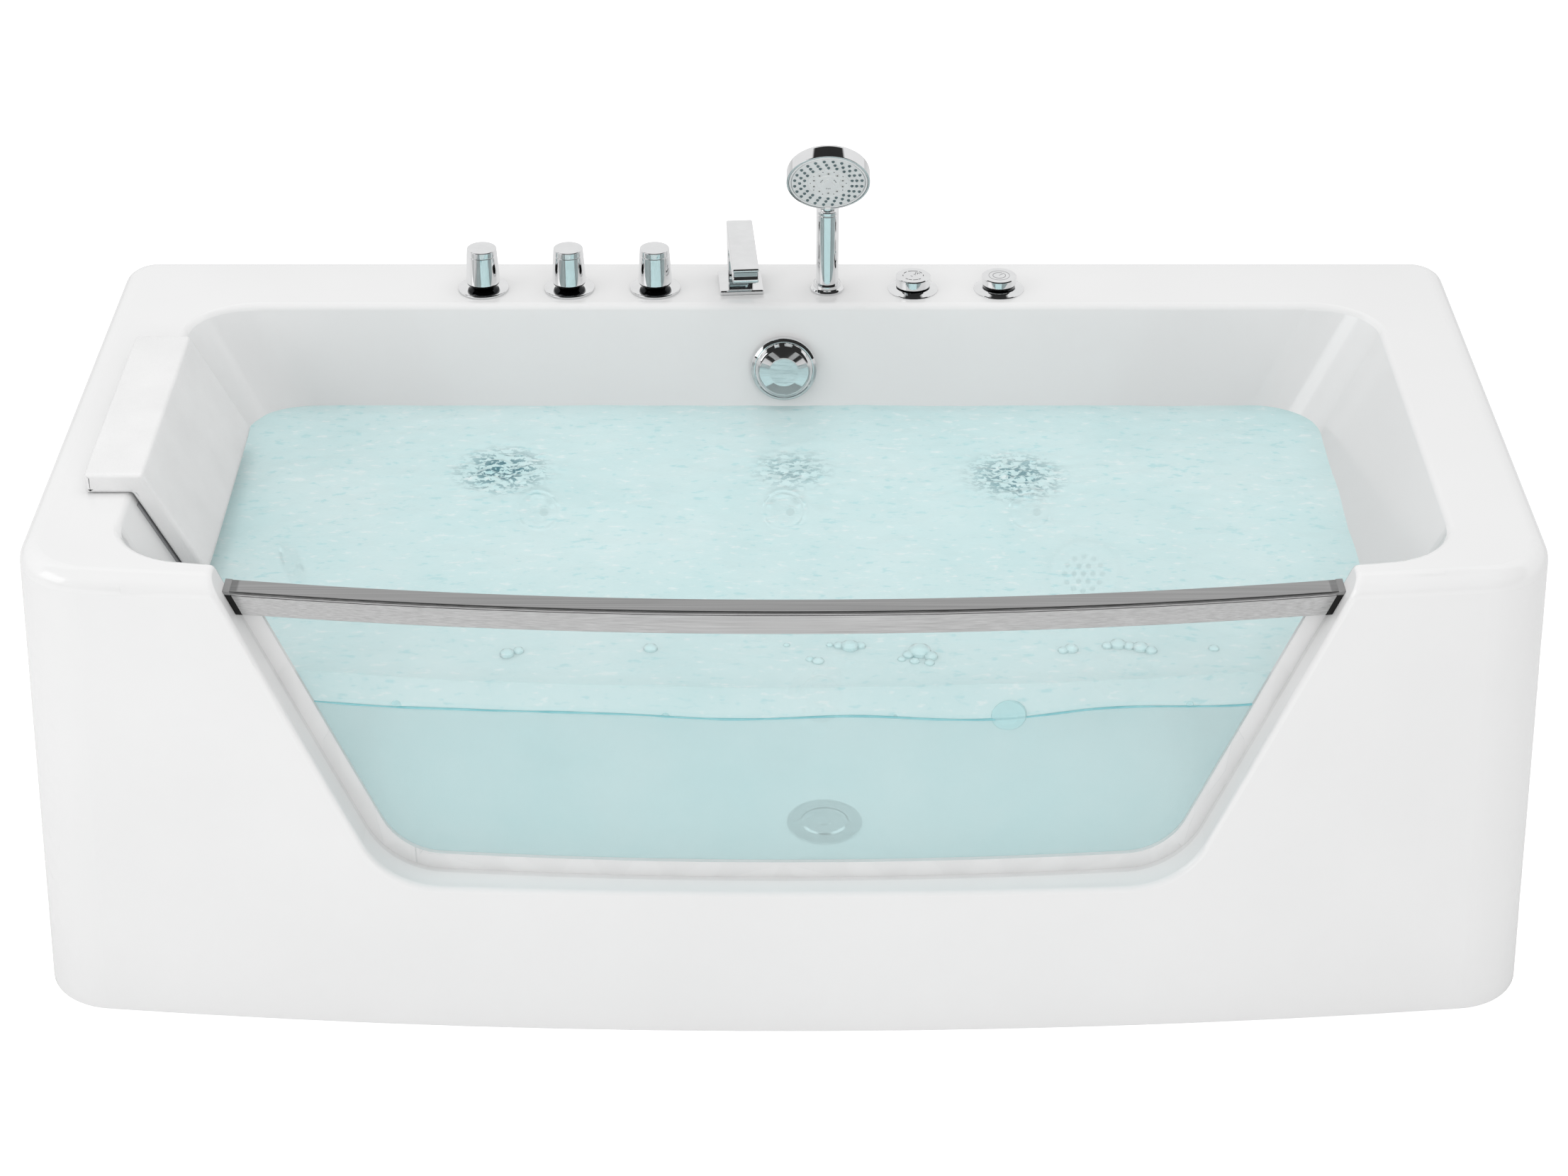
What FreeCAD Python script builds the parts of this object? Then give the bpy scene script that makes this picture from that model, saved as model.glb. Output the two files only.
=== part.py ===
import FreeCAD, Part
import math
import os
import re

# Jetted bathtub with a bowed front, a glass window and a row of deck fittings.
# Frame: X to the right along the tub, Y to the back, Z up; the origin is on the floor under the
# middle of the tub. All sizes are in millimetres.

# ---------------------------------------------------------------- driving dimensions
SIZES = [
    # outer form
    ("tub_length", 1700, "overall length, at the floor"),
    ("tub_depth", 830, "overall depth at the floor, over the bow of the front"),
    ("tub_height", 568, "deck above the floor"),
    ("side_flare", 25.5, "how much further out each side is at the floor than at the deck"),
    ("front_flare", 21.5, "the same for the front"),
    ("front_bow_radius", 7400, "plan radius of the bowed front, at the deck"),
    ("front_corner_radius", 85, "plan radius of the front corners"),
    ("back_corner_radius", 40, "plan radius of the back corners"),
    ("deck_edge_radius", 22, "rounding from the deck to the skirt"),
    ("wall", 6, "thickness of the acrylic and its backing"),
    ("back_return", 70, "width of the skirt's returns at the open back"),
    # basin
    ("deck_end_width", 102.5, "deck beyond each end of the basin"),
    ("end_wall_run", 229, "how far each reclined end wall comes in on its way down"),
    ("deck_back_width", 132, "deck behind the basin"),
    ("back_wall_run", 64, "how far the back wall comes forward on its way down"),
    ("floor_height", 110, "basin floor above the ground"),
    ("basin_corner_radius", 75, "upright corners of the basin"),
    ("basin_floor_radius", 60, "rounding from the walls to the floor"),
    ("rim_roll_radius", 9, "rounding from the deck into the basin"),
    # window
    ("glass_inset", 31, "front face of the glass behind the front of the tub, at the middle"),
    ("glass_bow_radius", 4300, "plan radius of the glass's front face"),
    ("glass_thickness", 8, "bent safety glass"),
    ("glass_border", 20, "width of glass bonded to the flange around the opening"),
    ("glass_clearance", 0.5, "between the edge of the glass and the recess"),
    ("recess_bottom", 188, "ledge under the glass, above the floor"),
    ("recess_half_width", 440, "half width of the recess at the ledge"),
    ("recess_slope", 0.44, "how far the recess's sides go out for each millimetre up"),
    ("recess_corner_radius", 90, "lower corners of the recess"),
    ("recess_edge_radius", 6, "rounding of the recess's edge, from the skirt and from the deck"),
    # rail on the glass
    ("rail_drop", 23, "top of the rail below the deck"),
    ("rail_height", 28, "height of the rail"),
    ("rail_front", 7, "rail in front of the glass"),
    ("rail_back", 11, "rail behind the glass"),
    ("rail_slot_depth", 22, "how far the glass stands in the rail"),
    ("rail_slot_clearance", 0.3, "between glass and rail on each side"),
    ("cap_width", 7, "end caps of the rail"),
    ("rail_end_clearance", 0.2, "between the end caps and the sides of the recess"),
    ("cap_height", 4, "visible height of the end caps, over the seals"),
    # headrest
    ("headrest_length", 336, "along the end wall"),
    ("headrest_centre_y", -15, "middle of the headrest"),
    ("headrest_pad", 26, "thickness of the pad on the deck"),
    ("headrest_slope_pad", 27, "level thickness of the pad on the wall"),
    ("headrest_deck_reach", 48, "pad on the deck beyond the basin's edge"),
    ("headrest_bottom", 464, "lower end of the pad above the floor"),
    ("backing_width", 2.5, "level thickness of the backing under the sloped pad"),
    ("backing_drop", 14, "backing's top below the deck"),
    # row of deck fittings
    ("fitting_pitch", 106.3, "between neighbours in the row"),
    ("spout_x", -53, "middle fitting of the row"),
    ("fitting_inset", 87, "centres of the row in front of the back of the tub"),
    ("deck_hole_radius", 17, "each hole in the deck"),
    ("shank_radius", 16.5, "threaded shank of each fitting"),
    ("shank_length", 54, "shank below the deck's top"),
    ("nut_radius", 25, "over the corners of each lock nut"),
    ("nut_height", 10, "lock nut"),
    ("nut_clearance", 0.1, "between shank and nut"),
    ("rosette_radius", 31, "rosettes and flanges on the deck"),
    ("rosette_rim", 3, "height of a rosette's rim"),
    ("rosette_dome", 5, "height of its cone over the rim"),
    ("rosette_neck_radius", 15, "top of the rosette"),
    ("moving_gap", 0.4, "between a turning or sliding piece and what it stands over"),
    # tap handles
    ("knob_bottom_radius", 12, "knob where it leaves the rosette"),
    ("knob_radius", 21, "widest part of the knob"),
    ("knob_top_radius", 18, "top of the knob"),
    ("knob_bowl_height", 11, "rounded underside"),
    ("knob_height", 37, "tapered side above the underside"),
    ("knob_groove_below_top", 8, "thin groove under the knob's top"),
    ("knob_groove_width", 0.8, "height of the groove"),
    ("knob_groove_depth", 0.5, "depth of the groove"),
    ("spindle_radius", 4, "spindle of each knob"),
    ("spindle_length", 36, "spindle below the deck's top"),
    ("spindle_clearance", 0.05, "running fit of each spindle"),
    # valves under the deck
    ("valve_radius", 20, "valve body"),
    ("valve_height", 50, "valve body"),
    ("tail_radius", 10.4, "half-inch pipe thread of the supply tails"),
    ("tail_length", 30, "supply tails"),
    ("tail_bore_radius", 7, "way through the tails"),
    ("port_radius", 9, "side ports"),
    ("port_length", 6, "side ports"),
    ("copper_radius", 8, "copper pipes"),
    ("copper_wall", 1, "copper pipes"),
    ("copper_bend", 14, "bends of the copper pipes"),
    ("pipe_straight", 1, "shortest straight run of a pipe between two bends or before its end"),
    # spout
    ("spout_turn", 4, "how far the spout is turned on its base, in degrees"),
    ("spout_base_width", 54, "base plate"),
    ("spout_base_depth", 59, "base plate"),
    ("spout_base_back", 41, "base plate behind the centre of the spout's shank"),
    ("spout_base_height", 6, "base plate"),
    ("spout_width", 32, "spout"),
    ("spout_thickness", 20, "arm of the spout"),
    ("spout_rise", 77, "top of the arm above the deck"),
    ("spout_reach", 105, "arm in front of the centre of its shank"),
    ("spout_back", 36, "arm behind the centre of its shank"),
    ("spout_column", 28, "depth of the upright"),
    ("outlet_length", 14, "mouth under the end of the arm"),
    ("outlet_wall", 3, "rim of the mouth"),
    ("outlet_depth", 5, "mouth into the arm"),
    # hand shower
    ("holder_radius", 20.5, "flange of the hand shower's holder"),
    ("holder_rim", 5, "height of the flange"),
    ("holder_neck_radius", 17, "neck of the holder"),
    ("holder_neck_height", 5, "neck above the flange"),
    ("sleeve_radius", 16, "guide sleeve in the holder"),
    ("sleeve_length", 46, "guide sleeve"),
    ("sleeve_clearance", 0.05, "running fit of the sleeve in the holder"),
    ("handle_radius", 13.8, "handle of the hand shower"),
    ("handle_clearance", 0.1, "sliding fit of the handle in its sleeve"),
    ("handle_top", 108, "top of the handle above the deck"),
    ("handle_tail", 24, "handle below the deck's top"),
    ("neck_radius", 11, "neck between handle and head"),
    ("neck_height", 16, "neck above the handle"),
    ("head_radius", 51.5, "shower head"),
    ("head_thickness", 20, "shower head"),
    ("head_tilt", 26.7, "spray direction below level, in degrees"),
    ("head_forward", 37, "centre of the spray face in front of the handle's axis"),
    ("head_rise", 159, "centre of the spray face above the deck"),
    ("face_radius", 44.5, "spray plate"),
    ("face_depth", 4, "spray plate in the head"),
    ("face_gap", 0.4, "around the selector ring"),
    ("selector_width", 3.2, "ring of the spray selector"),
    ("selector_depth", 3, "ring in the head"),
    ("selector_tab", 7, "tab of the selector, in front of the ring"),
    ("nozzle_radius", 1.6, "rubber nozzles"),
    ("nozzle_height", 1.2, "rubber nozzles"),
    ("nozzle_edge", 5.8, "outer ring of nozzles, in from the edge of the spray plate"),
    ("nozzle_pitch", 6.2, "between the outer rings of nozzles"),
    ("nozzle_inner_ring", 16, "radius of the inner ring of nozzles"),
    # air control and on/off button
    ("control_radius", 21.5, "air control and button"),
    ("control_height", 10, "air control and button above their flanges"),
    ("control_flange", 8, "height of their flanges"),
    ("button_travel", 4, "stroke of the on/off button"),
    ("bellows_radius", 18, "air bellows under the button"),
    ("bellows_height", 26, "air bellows"),
    ("bellows_wall", 2, "air bellows"),
    ("bellows_well_radius", 6.5, "room for the button's stem in the bellows"),
    # overflow and waste
    ("overflow_drop", 79, "centre of the overflow below the deck"),
    ("overflow_radius", 40.5, "knob over the overflow"),
    ("overflow_rim", 9, "straight side of the knob"),
    ("overflow_dome", 9, "dome of the knob over its side"),
    ("overflow_neck", 25, "body through the wall"),
    ("overflow_flange", 33, "clamping flanges"),
    ("overflow_flange_height", 3, "clamping flange in the basin"),
    ("overflow_depth", 44, "body behind the wall"),
    ("waste_radius", 16, "waste and overflow pipes"),
    ("waste_wall", 2.5, "waste and overflow pipes"),
    ("waste_bend", 28, "their bends"),
    ("waste_height", 40, "centre of the waste pipes above the floor"),
    ("drain_x", 48, "drain"),
    ("drain_inset", 251, "drain behind the front of the tub"),
    ("drain_radius", 44, "flange of the drain"),
    ("drain_rim", 2, "height of the flange"),
    ("drain_tail_radius", 30, "drain through the floor"),
    ("drain_bore_radius", 25, "way through the drain"),
    ("plug_radius", 28, "plug"),
    ("plug_height", 5, "plug"),
    ("plug_lift", 9, "lift of the plug"),
    ("plug_stem_radius", 4, "stem of the plug"),
    ("plug_stem_length", 30, "stem of the plug"),
    ("trap_radius", 36, "trap under the drain"),
    ("trap_bottom", 12, "trap above the floor"),
    ("overflow_cross_run", 84, "level run in which the overflow pipe crosses to the drain"),
    ("waste_outlet_x", -150, "outlet pipe"),
    ("waste_outlet_inset", 12, "end of the outlet in front of the back of the tub"),
    # jets
    ("jet_pitch", 310, "between the jets of the back wall"),
    ("jet_height", 300, "jets of the back wall above the floor"),
    ("end_jet_pitch", 190, "between the jets of the reclined wall"),
    ("jet_radius", 19, "jet body through the wall"),
    ("jet_length", 28, "jet body behind the wall's face"),
    ("jet_tail_length", 12, "narrow tail behind the jet body"),
    ("jet_tail_radius", 10, "narrow tail, seated on the water pipe"),
    ("jet_flange_radius", 27, "nut flange behind the wall"),
    ("jet_flange_height", 6, "nut flange"),
    ("jet_ring_radius", 31, "ring in the basin"),
    ("jet_ring_height", 5, "ring in the basin"),
    ("nozzle_ring_radius", 24, "turning face of a jet"),
    ("jet_face_clearance", 0.3, "around the turning face"),
    ("jet_orifice_radius", 7, "opening in the turning face"),
    ("jet_orifice_offset", 8, "opening off the centre of the face"),
    ("jet_boss_rim", 2, "boss around the opening"),
    ("jet_throat_radius", 14, "throat of the jet body"),
    ("air_port_radius", 6, "air inlet of a jet"),
    # water and air pipework
    ("water_pipe_radius", 20, "pressure and suction pipes"),
    ("water_pipe_wall", 2.5, "pressure and suction pipes"),
    ("water_pipe_bend", 30, "their bends"),
    ("air_pipe_radius", 8, "air pipe"),
    ("air_pipe_wall", 1.5, "air pipe"),
    ("air_pipe_bend", 16, "its bends"),
    ("air_pipe_rise", 46, "air pipe above the centres of the jets"),
    ("air_drop_radius", 6.5, "pipe from the air control down to the air pipe"),
    ("suction_x", 380, "suction fitting"),
    ("suction_height", 216, "suction fitting above the floor"),
    ("suction_radius", 44, "suction grille"),
    ("suction_grille_height", 8, "suction grille"),
    ("suction_hole_radius", 3.5, "holes of the grille"),
    ("suction_hole_pitch", 12, "between the rings of holes"),
    ("suction_run", 36, "suction pipe straight behind its fitting"),
    # pump
    ("pump_inset", 160, "axis of the pump in from the end of the tub"),
    ("pump_base_height", 10, "base plate"),
    ("pump_base_width", 136, "base plate"),
    ("pump_saddle_width", 60, "saddles under the motor"),
    ("pump_saddle_depth", 30, "saddles under the motor"),
    ("pump_saddle_inset", 34, "middle of each saddle in from the motor's end"),
    ("pump_axis_rise", 82, "axis above the base plate"),
    ("volute_radius", 78, "wet end"),
    ("volute_length", 70, "wet end"),
    ("volute_inset", 15, "back face of the wet end in front of the middle rail"),
    ("volute_wall", 8, "wet end"),
    ("impeller_radius", 56, "impeller"),
    ("impeller_width", 26, "impeller"),
    ("impeller_gap", 8, "impeller from the volute's back wall"),
    ("motor_radius", 65, "motor"),
    ("motor_length", 170, "motor"),
    ("motor_rib_count", 24, "cooling ribs"),
    ("motor_rib_height", 5, "cooling ribs"),
    ("motor_rib_width", 3, "cooling ribs"),
    ("shaft_radius", 8, "motor shaft"),
    ("shaft_clearance", 0.05, "running fit of the shaft"),
    ("fan_radius", 54, "cooling fan"),
    ("fan_width", 18, "cooling fan"),
    ("fan_blade_count", 8, "blades"),
    ("fan_blade_width", 3, "blades"),
    ("fan_cover_length", 52, "fan cover"),
    ("fan_cover_wall", 3, "fan cover"),
    # carrying frame
    ("board_thickness", 16, "board under the basin floor"),
    ("board_end_inset", 13, "board in from each end of the basin floor"),
    ("board_front_inset", 110, "board behind the front of the tub"),
    ("board_back_inset", 215, "board in front of the back of the tub"),
    ("tube", 30, "square frame tube"),
    ("tube_wall", 2, "square frame tube"),
    ("frame_end_inset", 60, "frame in from each end of the tub"),
    ("frame_front_inset", 185, "front rail behind the front of the tub"),
    ("frame_back_inset", 38, "back rail in front of the back of the tub"),
    ("frame_middle_inset", 265, "middle rail in front of the back of the tub"),
    ("cross_tube_x", 300, "inner cross tubes"),
    ("foot_inset", 90, "outer feet in from each end of the frame"),
    ("foot_radius", 24, "pad of a foot"),
    ("foot_height", 12, "pad of a foot"),
    ("foot_rod_radius", 6, "threaded rod of a foot"),
    ("foot_rod_length", 50, "threaded rod above the pad"),
    ("foot_nut_radius", 11, "over the corners of a foot's lock nut"),
    ("foot_nut_height", 9, "lock nut"),
    # control box
    ("box_width", 180, "control box"),
    ("box_depth", 60, "control box"),
    ("box_height", 120, "control box"),
    ("box_lid", 4, "lid of the control box"),
]

doc = FreeCAD.newDocument("jetted_bathtub")
sheet = doc.addObject("Spreadsheet::Sheet", "sizes")
for row, (alias, size, meaning) in enumerate(SIZES, start=1):
    sheet.set(f"A{row}", meaning)
    sheet.set(f"B{row}", str(size))
    sheet.setAlias(f"B{row}", alias)
doc.recompute()
ALIASES = {alias for alias, size, meaning in SIZES}

# ---------------------------------------------------------------- helpers
TURNS = {
    "z": FreeCAD.Rotation(),
    "-z": FreeCAD.Rotation(FreeCAD.Vector(1, 0, 0), 180),
    "x": FreeCAD.Rotation(FreeCAD.Vector(0, 1, 0), 90),
    "-x": FreeCAD.Rotation(FreeCAD.Vector(0, 1, 0), -90),
    "y": FreeCAD.Rotation(FreeCAD.Vector(1, 0, 0), -90),
    "-y": FreeCAD.Rotation(FreeCAD.Vector(1, 0, 0), 90),
}
sub_parts = []


def bound(text):
    """An expression in the words of the sheet, as an object of the document reads it."""
    return re.sub(r"[a-z]\w*", lambda found: f"sizes.{found[0]}" if found[0] in ALIASES else found[0], text)


def number(text):
    """The present value of such an expression."""
    return float(sheet.evalExpression(bound(text)))


def place(thing, at, turn=FreeCAD.Rotation()):
    """Puts a piece at a place given by three expressions, turned by a rotation."""
    thing.Placement = FreeCAD.Placement(FreeCAD.Vector(), turn)
    for letter, text in zip("xyz", at):
        thing.setExpression(f"Placement.Base.{letter}", bound(text))
    return thing


def solid(kind, sizes, at=("0", "0", "0"), axis="z"):
    """One of the plain solids, its sizes bound to the sheet."""
    thing = doc.addObject(f"Part::{kind}", kind.lower())
    for name, text in sizes.items():
        thing.setExpression(name, bound(text))
    return place(thing, at, TURNS[axis])


def block(x, y, z):
    """A box between two expressions along each axis."""
    pairs = zip(("Length", "Width", "Height"), (x, y, z))
    sizes = {name: f"({high}) - ({low})" for name, (low, high) in pairs}
    return solid("Box", sizes, (x[0], y[0], z[0]))


def rod(radius, at, length, axis="z"):
    return solid("Cylinder", {"Radius": radius, "Height": length}, at, axis)


def cone(first, last, at, length, axis="z"):
    return solid("Cone", {"Radius1": first, "Radius2": last, "Height": length}, at, axis)


def taper(x_low, x_high, y_low, y_high, z):
    """A block whose left, right, front and back faces may lean: (from, to) at its bottom and its top."""
    sizes = {"Ymin": z[0], "Ymax": z[1]}
    for name, text in zip(("Xmin", "Xmax", "X2min", "X2max"), (*x_low, *x_high)):
        sizes[name] = text
    for name, text in zip(("Zmin", "Zmax", "Z2min", "Z2max"), (y_low[1], y_low[0], y_high[1], y_high[0])):
        sizes[name] = f"-({text})"
    return solid("Wedge", sizes, axis="-y")


def fuse(*things):
    joined = doc.addObject("Part::MultiFuse", "joined")
    joined.Shapes = list(things)
    return joined


def common(base, tool):
    shared = doc.addObject("Part::Common", "shared")
    shared.Base = base
    shared.Tool = tool
    return shared


def cut(base, *tools):
    rest = doc.addObject("Part::Cut", "rest")
    rest.Base = base
    rest.Tool = tools[0] if len(tools) == 1 else group(*tools)
    return rest


def group(*things):
    """Separate solids kept as one thing."""
    kept = doc.addObject("Part::Compound", "kept")
    kept.Links = list(things)
    return kept


def rounded(thing, *rounds):
    """A body made from a plain solid, with chosen edges rounded: (radius, choice of edges)."""
    body = doc.addObject("PartDesign::Body", "rounded")
    body.BaseFeature = thing
    doc.recompute()
    feature = body.Group[0]
    feature.touch()
    doc.recompute()
    for radius, chosen in rounds:
        edges = [f"Edge{index}" for index, edge in enumerate(feature.Shape.Edges, 1) if chosen(edge)]
        fillet = body.newObject("PartDesign::Fillet", "fillet")
        fillet.Base = (feature, edges)
        fillet.setExpression("Radius", bound(radius))
        doc.recompute()
        feature = fillet
    return body


def sub_part(name, thing):
    thing.Label = name
    sub_parts.append(thing)
    return thing


def sweep_along(points, bend, radius):
    """A solid round bar along straight runs joined by tangent arcs."""
    corners = [FreeCAD.Vector(*point) for point in points]
    edges = []
    start = corners[0]
    for before, corner, after in zip(corners, corners[1:], corners[2:]):
        first = (corner - before).normalize()
        second = (after - corner).normalize()
        half_turn = first.getAngle(second) / 2
        reach = bend * math.tan(half_turn)
        enter = corner - first * reach
        leave = corner + second * reach
        inward = (second - first).normalize()
        middle = corner + inward * (bend / math.cos(half_turn) - bend)
        edges.append(Part.LineSegment(start, enter).toShape())
        edges.append(Part.Arc(enter, middle, leave).toShape())
        start = leave
    edges.append(Part.LineSegment(start, corners[-1]).toShape())
    circle = Part.Circle(corners[0], corners[1] - corners[0], radius).toShape()
    return Part.Wire(edges).makePipeShell([Part.Wire(circle)], True, False)


def pipe(name, thickness, bend, *runs):
    """A pipe with open ends along each (radius, route), joined where they meet."""
    outside = []
    inside = []
    for radius, route in runs:
        points = [tuple(number(text) for text in point) for point in route]
        outside.append(sweep_along(points, number(bend), number(radius)))
        inside.append(sweep_along(points, number(bend), number(f"{radius} - {thickness}")))
    shape = outside[0].multiFuse(outside[1:]) if len(outside) > 1 else outside[0]
    for bore in inside:
        shape = shape.cut(bore)
    thing = doc.addObject("Part::Feature", "pipe")
    thing.Shape = shape
    return sub_part(name, thing)


# ---------------------------------------------------------------- lines that pieces share
DECK = "tub_height"
FRONT = "-tub_depth/2"
BACK = "tub_depth/2"
ROW_Y = f"({BACK} - fitting_inset)"
GLASS_AXIS_Y = f"({FRONT} + glass_inset + glass_bow_radius)"
BOW_AXIS_Y = f"({FRONT} + front_flare + front_bow_radius)"
BOARD_TOP = "(floor_height - wall)"
FRAME_TOP = f"({BOARD_TOP} - board_thickness)"
FRAME_BOTTOM = f"({FRAME_TOP} - tube)"
BASIN_DROP = "(tub_height - floor_height)"
RIM_BOTTOM = f"({DECK} - deck_edge_radius)"
RAIL_TOP = f"({DECK} - rail_drop)"
RAIL_BOTTOM = f"({RAIL_TOP} - rail_height)"
BASIN_HALF = "(tub_length/2 - side_flare - deck_end_width)"
FRAME_HALF = "(tub_length/2 - frame_end_inset)"
PUMP_X = "(tub_length/2 - pump_inset)"
OVERFLOW_Z = f"({DECK} - overflow_drop)"
TINY = 0.01


def in_row(place_in_row):
    """X of a deck fitting, counted from the spout."""
    return f"(spout_x + {place_in_row}*fitting_pitch)"


def end_wall_x(height):
    """Half length of the basin at a height."""
    return f"({BASIN_HALF} - end_wall_run*(tub_height - ({height}))/{BASIN_DROP})"


def back_wall_y(height):
    """Y of the basin's back wall at a height."""
    return f"({BACK} - deck_back_width - back_wall_run*(tub_height - ({height}))/{BASIN_DROP})"


def recess_half(height, offset):
    """Half width of the recess at a height, its outline grown by an offset."""
    return (f"(recess_half_width + recess_slope*(({height}) - recess_bottom)"
            f" + ({offset})*sqrt(1 + recess_slope^2))")


# ---------------------------------------------------------------- forms of the tub
def tub_form(inset):
    """The outside of the tub, or its inside when inset by the wall."""
    high = f"{DECK} - ({inset})"
    low_x = f"tub_length/2 - ({inset})"
    high_x = f"{low_x} - side_flare"
    y = ("-tub_depth", f"{BACK} - ({inset})")
    plan = taper((f"-({low_x})", low_x), (f"-({high_x})", high_x), y, y, ("0", high))
    bow = cone(f"front_bow_radius + front_flare - ({inset})", f"front_bow_radius - ({inset})",
               ("0", BOW_AXIS_Y, "0"), high)
    middle = number("tub_height")/2
    top = number(high)
    back = number(f"{BACK} - ({inset})")

    def upright(edge):
        return edge.BoundBox.ZLength > middle

    def at_the_back(edge):
        corner = edge.BoundBox.XLength < number("side_flare") + 1 and edge.BoundBox.YMax > back - TINY
        return upright(edge) and corner and abs(edge.CenterOfMass.x) > number("tub_length")/3

    return rounded(
        common(plan, bow),
        (f"front_corner_radius - ({inset})", lambda edge: upright(edge) and edge.CenterOfMass.y < 0),
        (f"back_corner_radius - ({inset})", at_the_back),
        (f"deck_edge_radius - ({inset})", lambda edge: edge.BoundBox.ZMin > top - TINY),
    )


def basin_form(offset):
    """The space inside the basin, or the outside of its wall when grown by the wall."""
    low = f"floor_height - ({offset})"
    high = f"{DECK} + wall"
    low_x = f"({end_wall_x(low)} + {offset})"
    high_x = f"({end_wall_x(high)} + {offset})"
    plan = taper((f"-{low_x}", low_x), (f"-{high_x}", high_x),
                 ("-tub_depth", f"{back_wall_y(low)} + {offset}"),
                 ("-tub_depth", f"{back_wall_y(high)} + {offset}"), (low, high))
    bow = rod(f"glass_bow_radius - glass_thickness - wall + {offset}", ("0", GLASS_AXIS_Y, "0"), high)
    floor = number(low)
    middle = number(BASIN_DROP)/2
    return rounded(
        common(plan, bow),
        (f"basin_corner_radius + {offset}", lambda edge: edge.BoundBox.ZLength > middle),
        (f"basin_floor_radius + {offset}", lambda edge: edge.BoundBox.ZMax < floor + TINY),
    )


def window_form(offset, low=None, high=f"{DECK} + wall"):
    """A bar through the front wall in the outline of the recess, grown by an offset."""
    bottom = f"(recess_bottom - ({offset}))"
    low_x = recess_half(bottom, offset)
    high_x = recess_half(high, offset)
    y = ("-2*tub_depth", "0")
    bar = taper((f"-{low_x}", low_x), (f"-{high_x}", high_x), y, y, (bottom, high))
    bar = common(bar, block(("-tub_length", "tub_length"), ("-tub_depth", "0"), (bottom, high)))
    under = number(bottom) + TINY

    def lower_corner(edge):
        return edge.BoundBox.ZMax < under and edge.BoundBox.YLength > edge.BoundBox.XLength

    form = rounded(bar, (f"recess_corner_radius + ({offset})", lower_corner))
    if low is None:
        return form
    return common(form, block(("-tub_length", "tub_length"), ("-tub_depth", "0"), (low, high)))


def glass_rod(offset, low="0", high=f"{DECK} + wall"):
    """A rod about the axis of the bent glass, its radius grown from the glass's front face."""
    return rod(f"glass_bow_radius + {offset}", ("0", GLASS_AXIS_Y, low), f"({high}) - ({low})")


def everywhere(low, high):
    return block(("-tub_length", "tub_length"), ("-tub_depth", "tub_depth"), (low, high))


# A piece on a leaning wall is modelled along its own +Z, which is then turned into the basin.
def back_wall_turn():
    lean = math.degrees(math.atan2(number("back_wall_run"), number(BASIN_DROP)))
    return FreeCAD.Rotation(FreeCAD.Vector(1, 0, 0), 90 - lean)


def end_wall_turn():
    lean = math.degrees(math.atan2(number("end_wall_run"), number(BASIN_DROP)))
    return FreeCAD.Rotation(FreeCAD.Vector(0, 1, 0), 90 - lean)


BACK_SLANT = f"sqrt({BASIN_DROP}^2 + back_wall_run^2)"
END_SLANT = f"sqrt({BASIN_DROP}^2 + end_wall_run^2)"
BACK_COS, BACK_SIN = f"({BASIN_DROP}/{BACK_SLANT})", f"(back_wall_run/{BACK_SLANT})"
END_COS, END_SIN = f"({BASIN_DROP}/{END_SLANT})", f"(end_wall_run/{END_SLANT})"

# The water pipe runs level behind all the jets, so its height comes from the jets of the back wall
# and the height of the jets in the reclined wall comes from the pipe.
JET_TO_PIPE = "(jet_length + jet_tail_length + water_pipe_radius)"
PIPE_Z = f"(jet_height - {BACK_SIN}*{JET_TO_PIPE})"
PIPE_Y = f"({back_wall_y('jet_height')} + {BACK_COS}*{JET_TO_PIPE})"
END_JET_Z = f"({PIPE_Z} + {END_SIN}*{JET_TO_PIPE})"
PIPE_X = f"(-{end_wall_x(END_JET_Z)} - {END_COS}*{JET_TO_PIPE})"
PUMP_Z = f"({FRAME_TOP} + pump_base_height + pump_axis_rise)"

# Where each jet is: its place on the basin's wall and the turn of that wall.
JETS = [((f"{step}*jet_pitch", back_wall_y("jet_height"), "jet_height"), back_wall_turn)
        for step in (-1, 0, 1)]
JETS += [((f"-{end_wall_x(END_JET_Z)}", f"headrest_centre_y {side} end_jet_pitch/2", END_JET_Z),
          end_wall_turn) for side in ("-", "+")]
OVERFLOW_AT = ("0", back_wall_y(OVERFLOW_Z), OVERFLOW_Z)
SUCTION_AT = ("suction_x", back_wall_y("suction_height"), "suction_height")
DRAIN_Y = f"({FRONT} + drain_inset)"


def wall_hole(radius, at, turn):
    """A round hole through a leaning wall."""
    return place(rod(radius, ("0", "0", "0"), "4*wall"), at, turn().multiply(TURNS["-z"]))


# ---------------------------------------------------------------- acrylic shell, skirt and base
# The rim, the basin, the skirt and the flange around the window are rounded as one form, which is
# then parted under the rounded edge of the deck and around the basin.
outside = tub_form("0")
basin_outside = basin_form("wall")
liner = cut(window_form("wall"), glass_rod("-glass_thickness"))
recess = cut(window_form("0"), glass_rod("-glass_thickness"))
notch = window_form("0", low=RAIL_BOTTOM)
hollow = cut(cut(tub_form("wall"), liner), basin_outside)
deck_top = number(DECK)
basin_edge = number(BASIN_HALF) + TINY
basin_back = number(back_wall_y(DECK)) + TINY
notch_side = number(recess_half(DECK, "0")) + TINY


def around_basin(edge):
    """Whether an edge runs around the basin at the deck."""
    box = edge.BoundBox
    return box.ZMin > deck_top - TINY and max(-box.XMin, box.XMax) < basin_edge and box.YMax < basin_back


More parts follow.
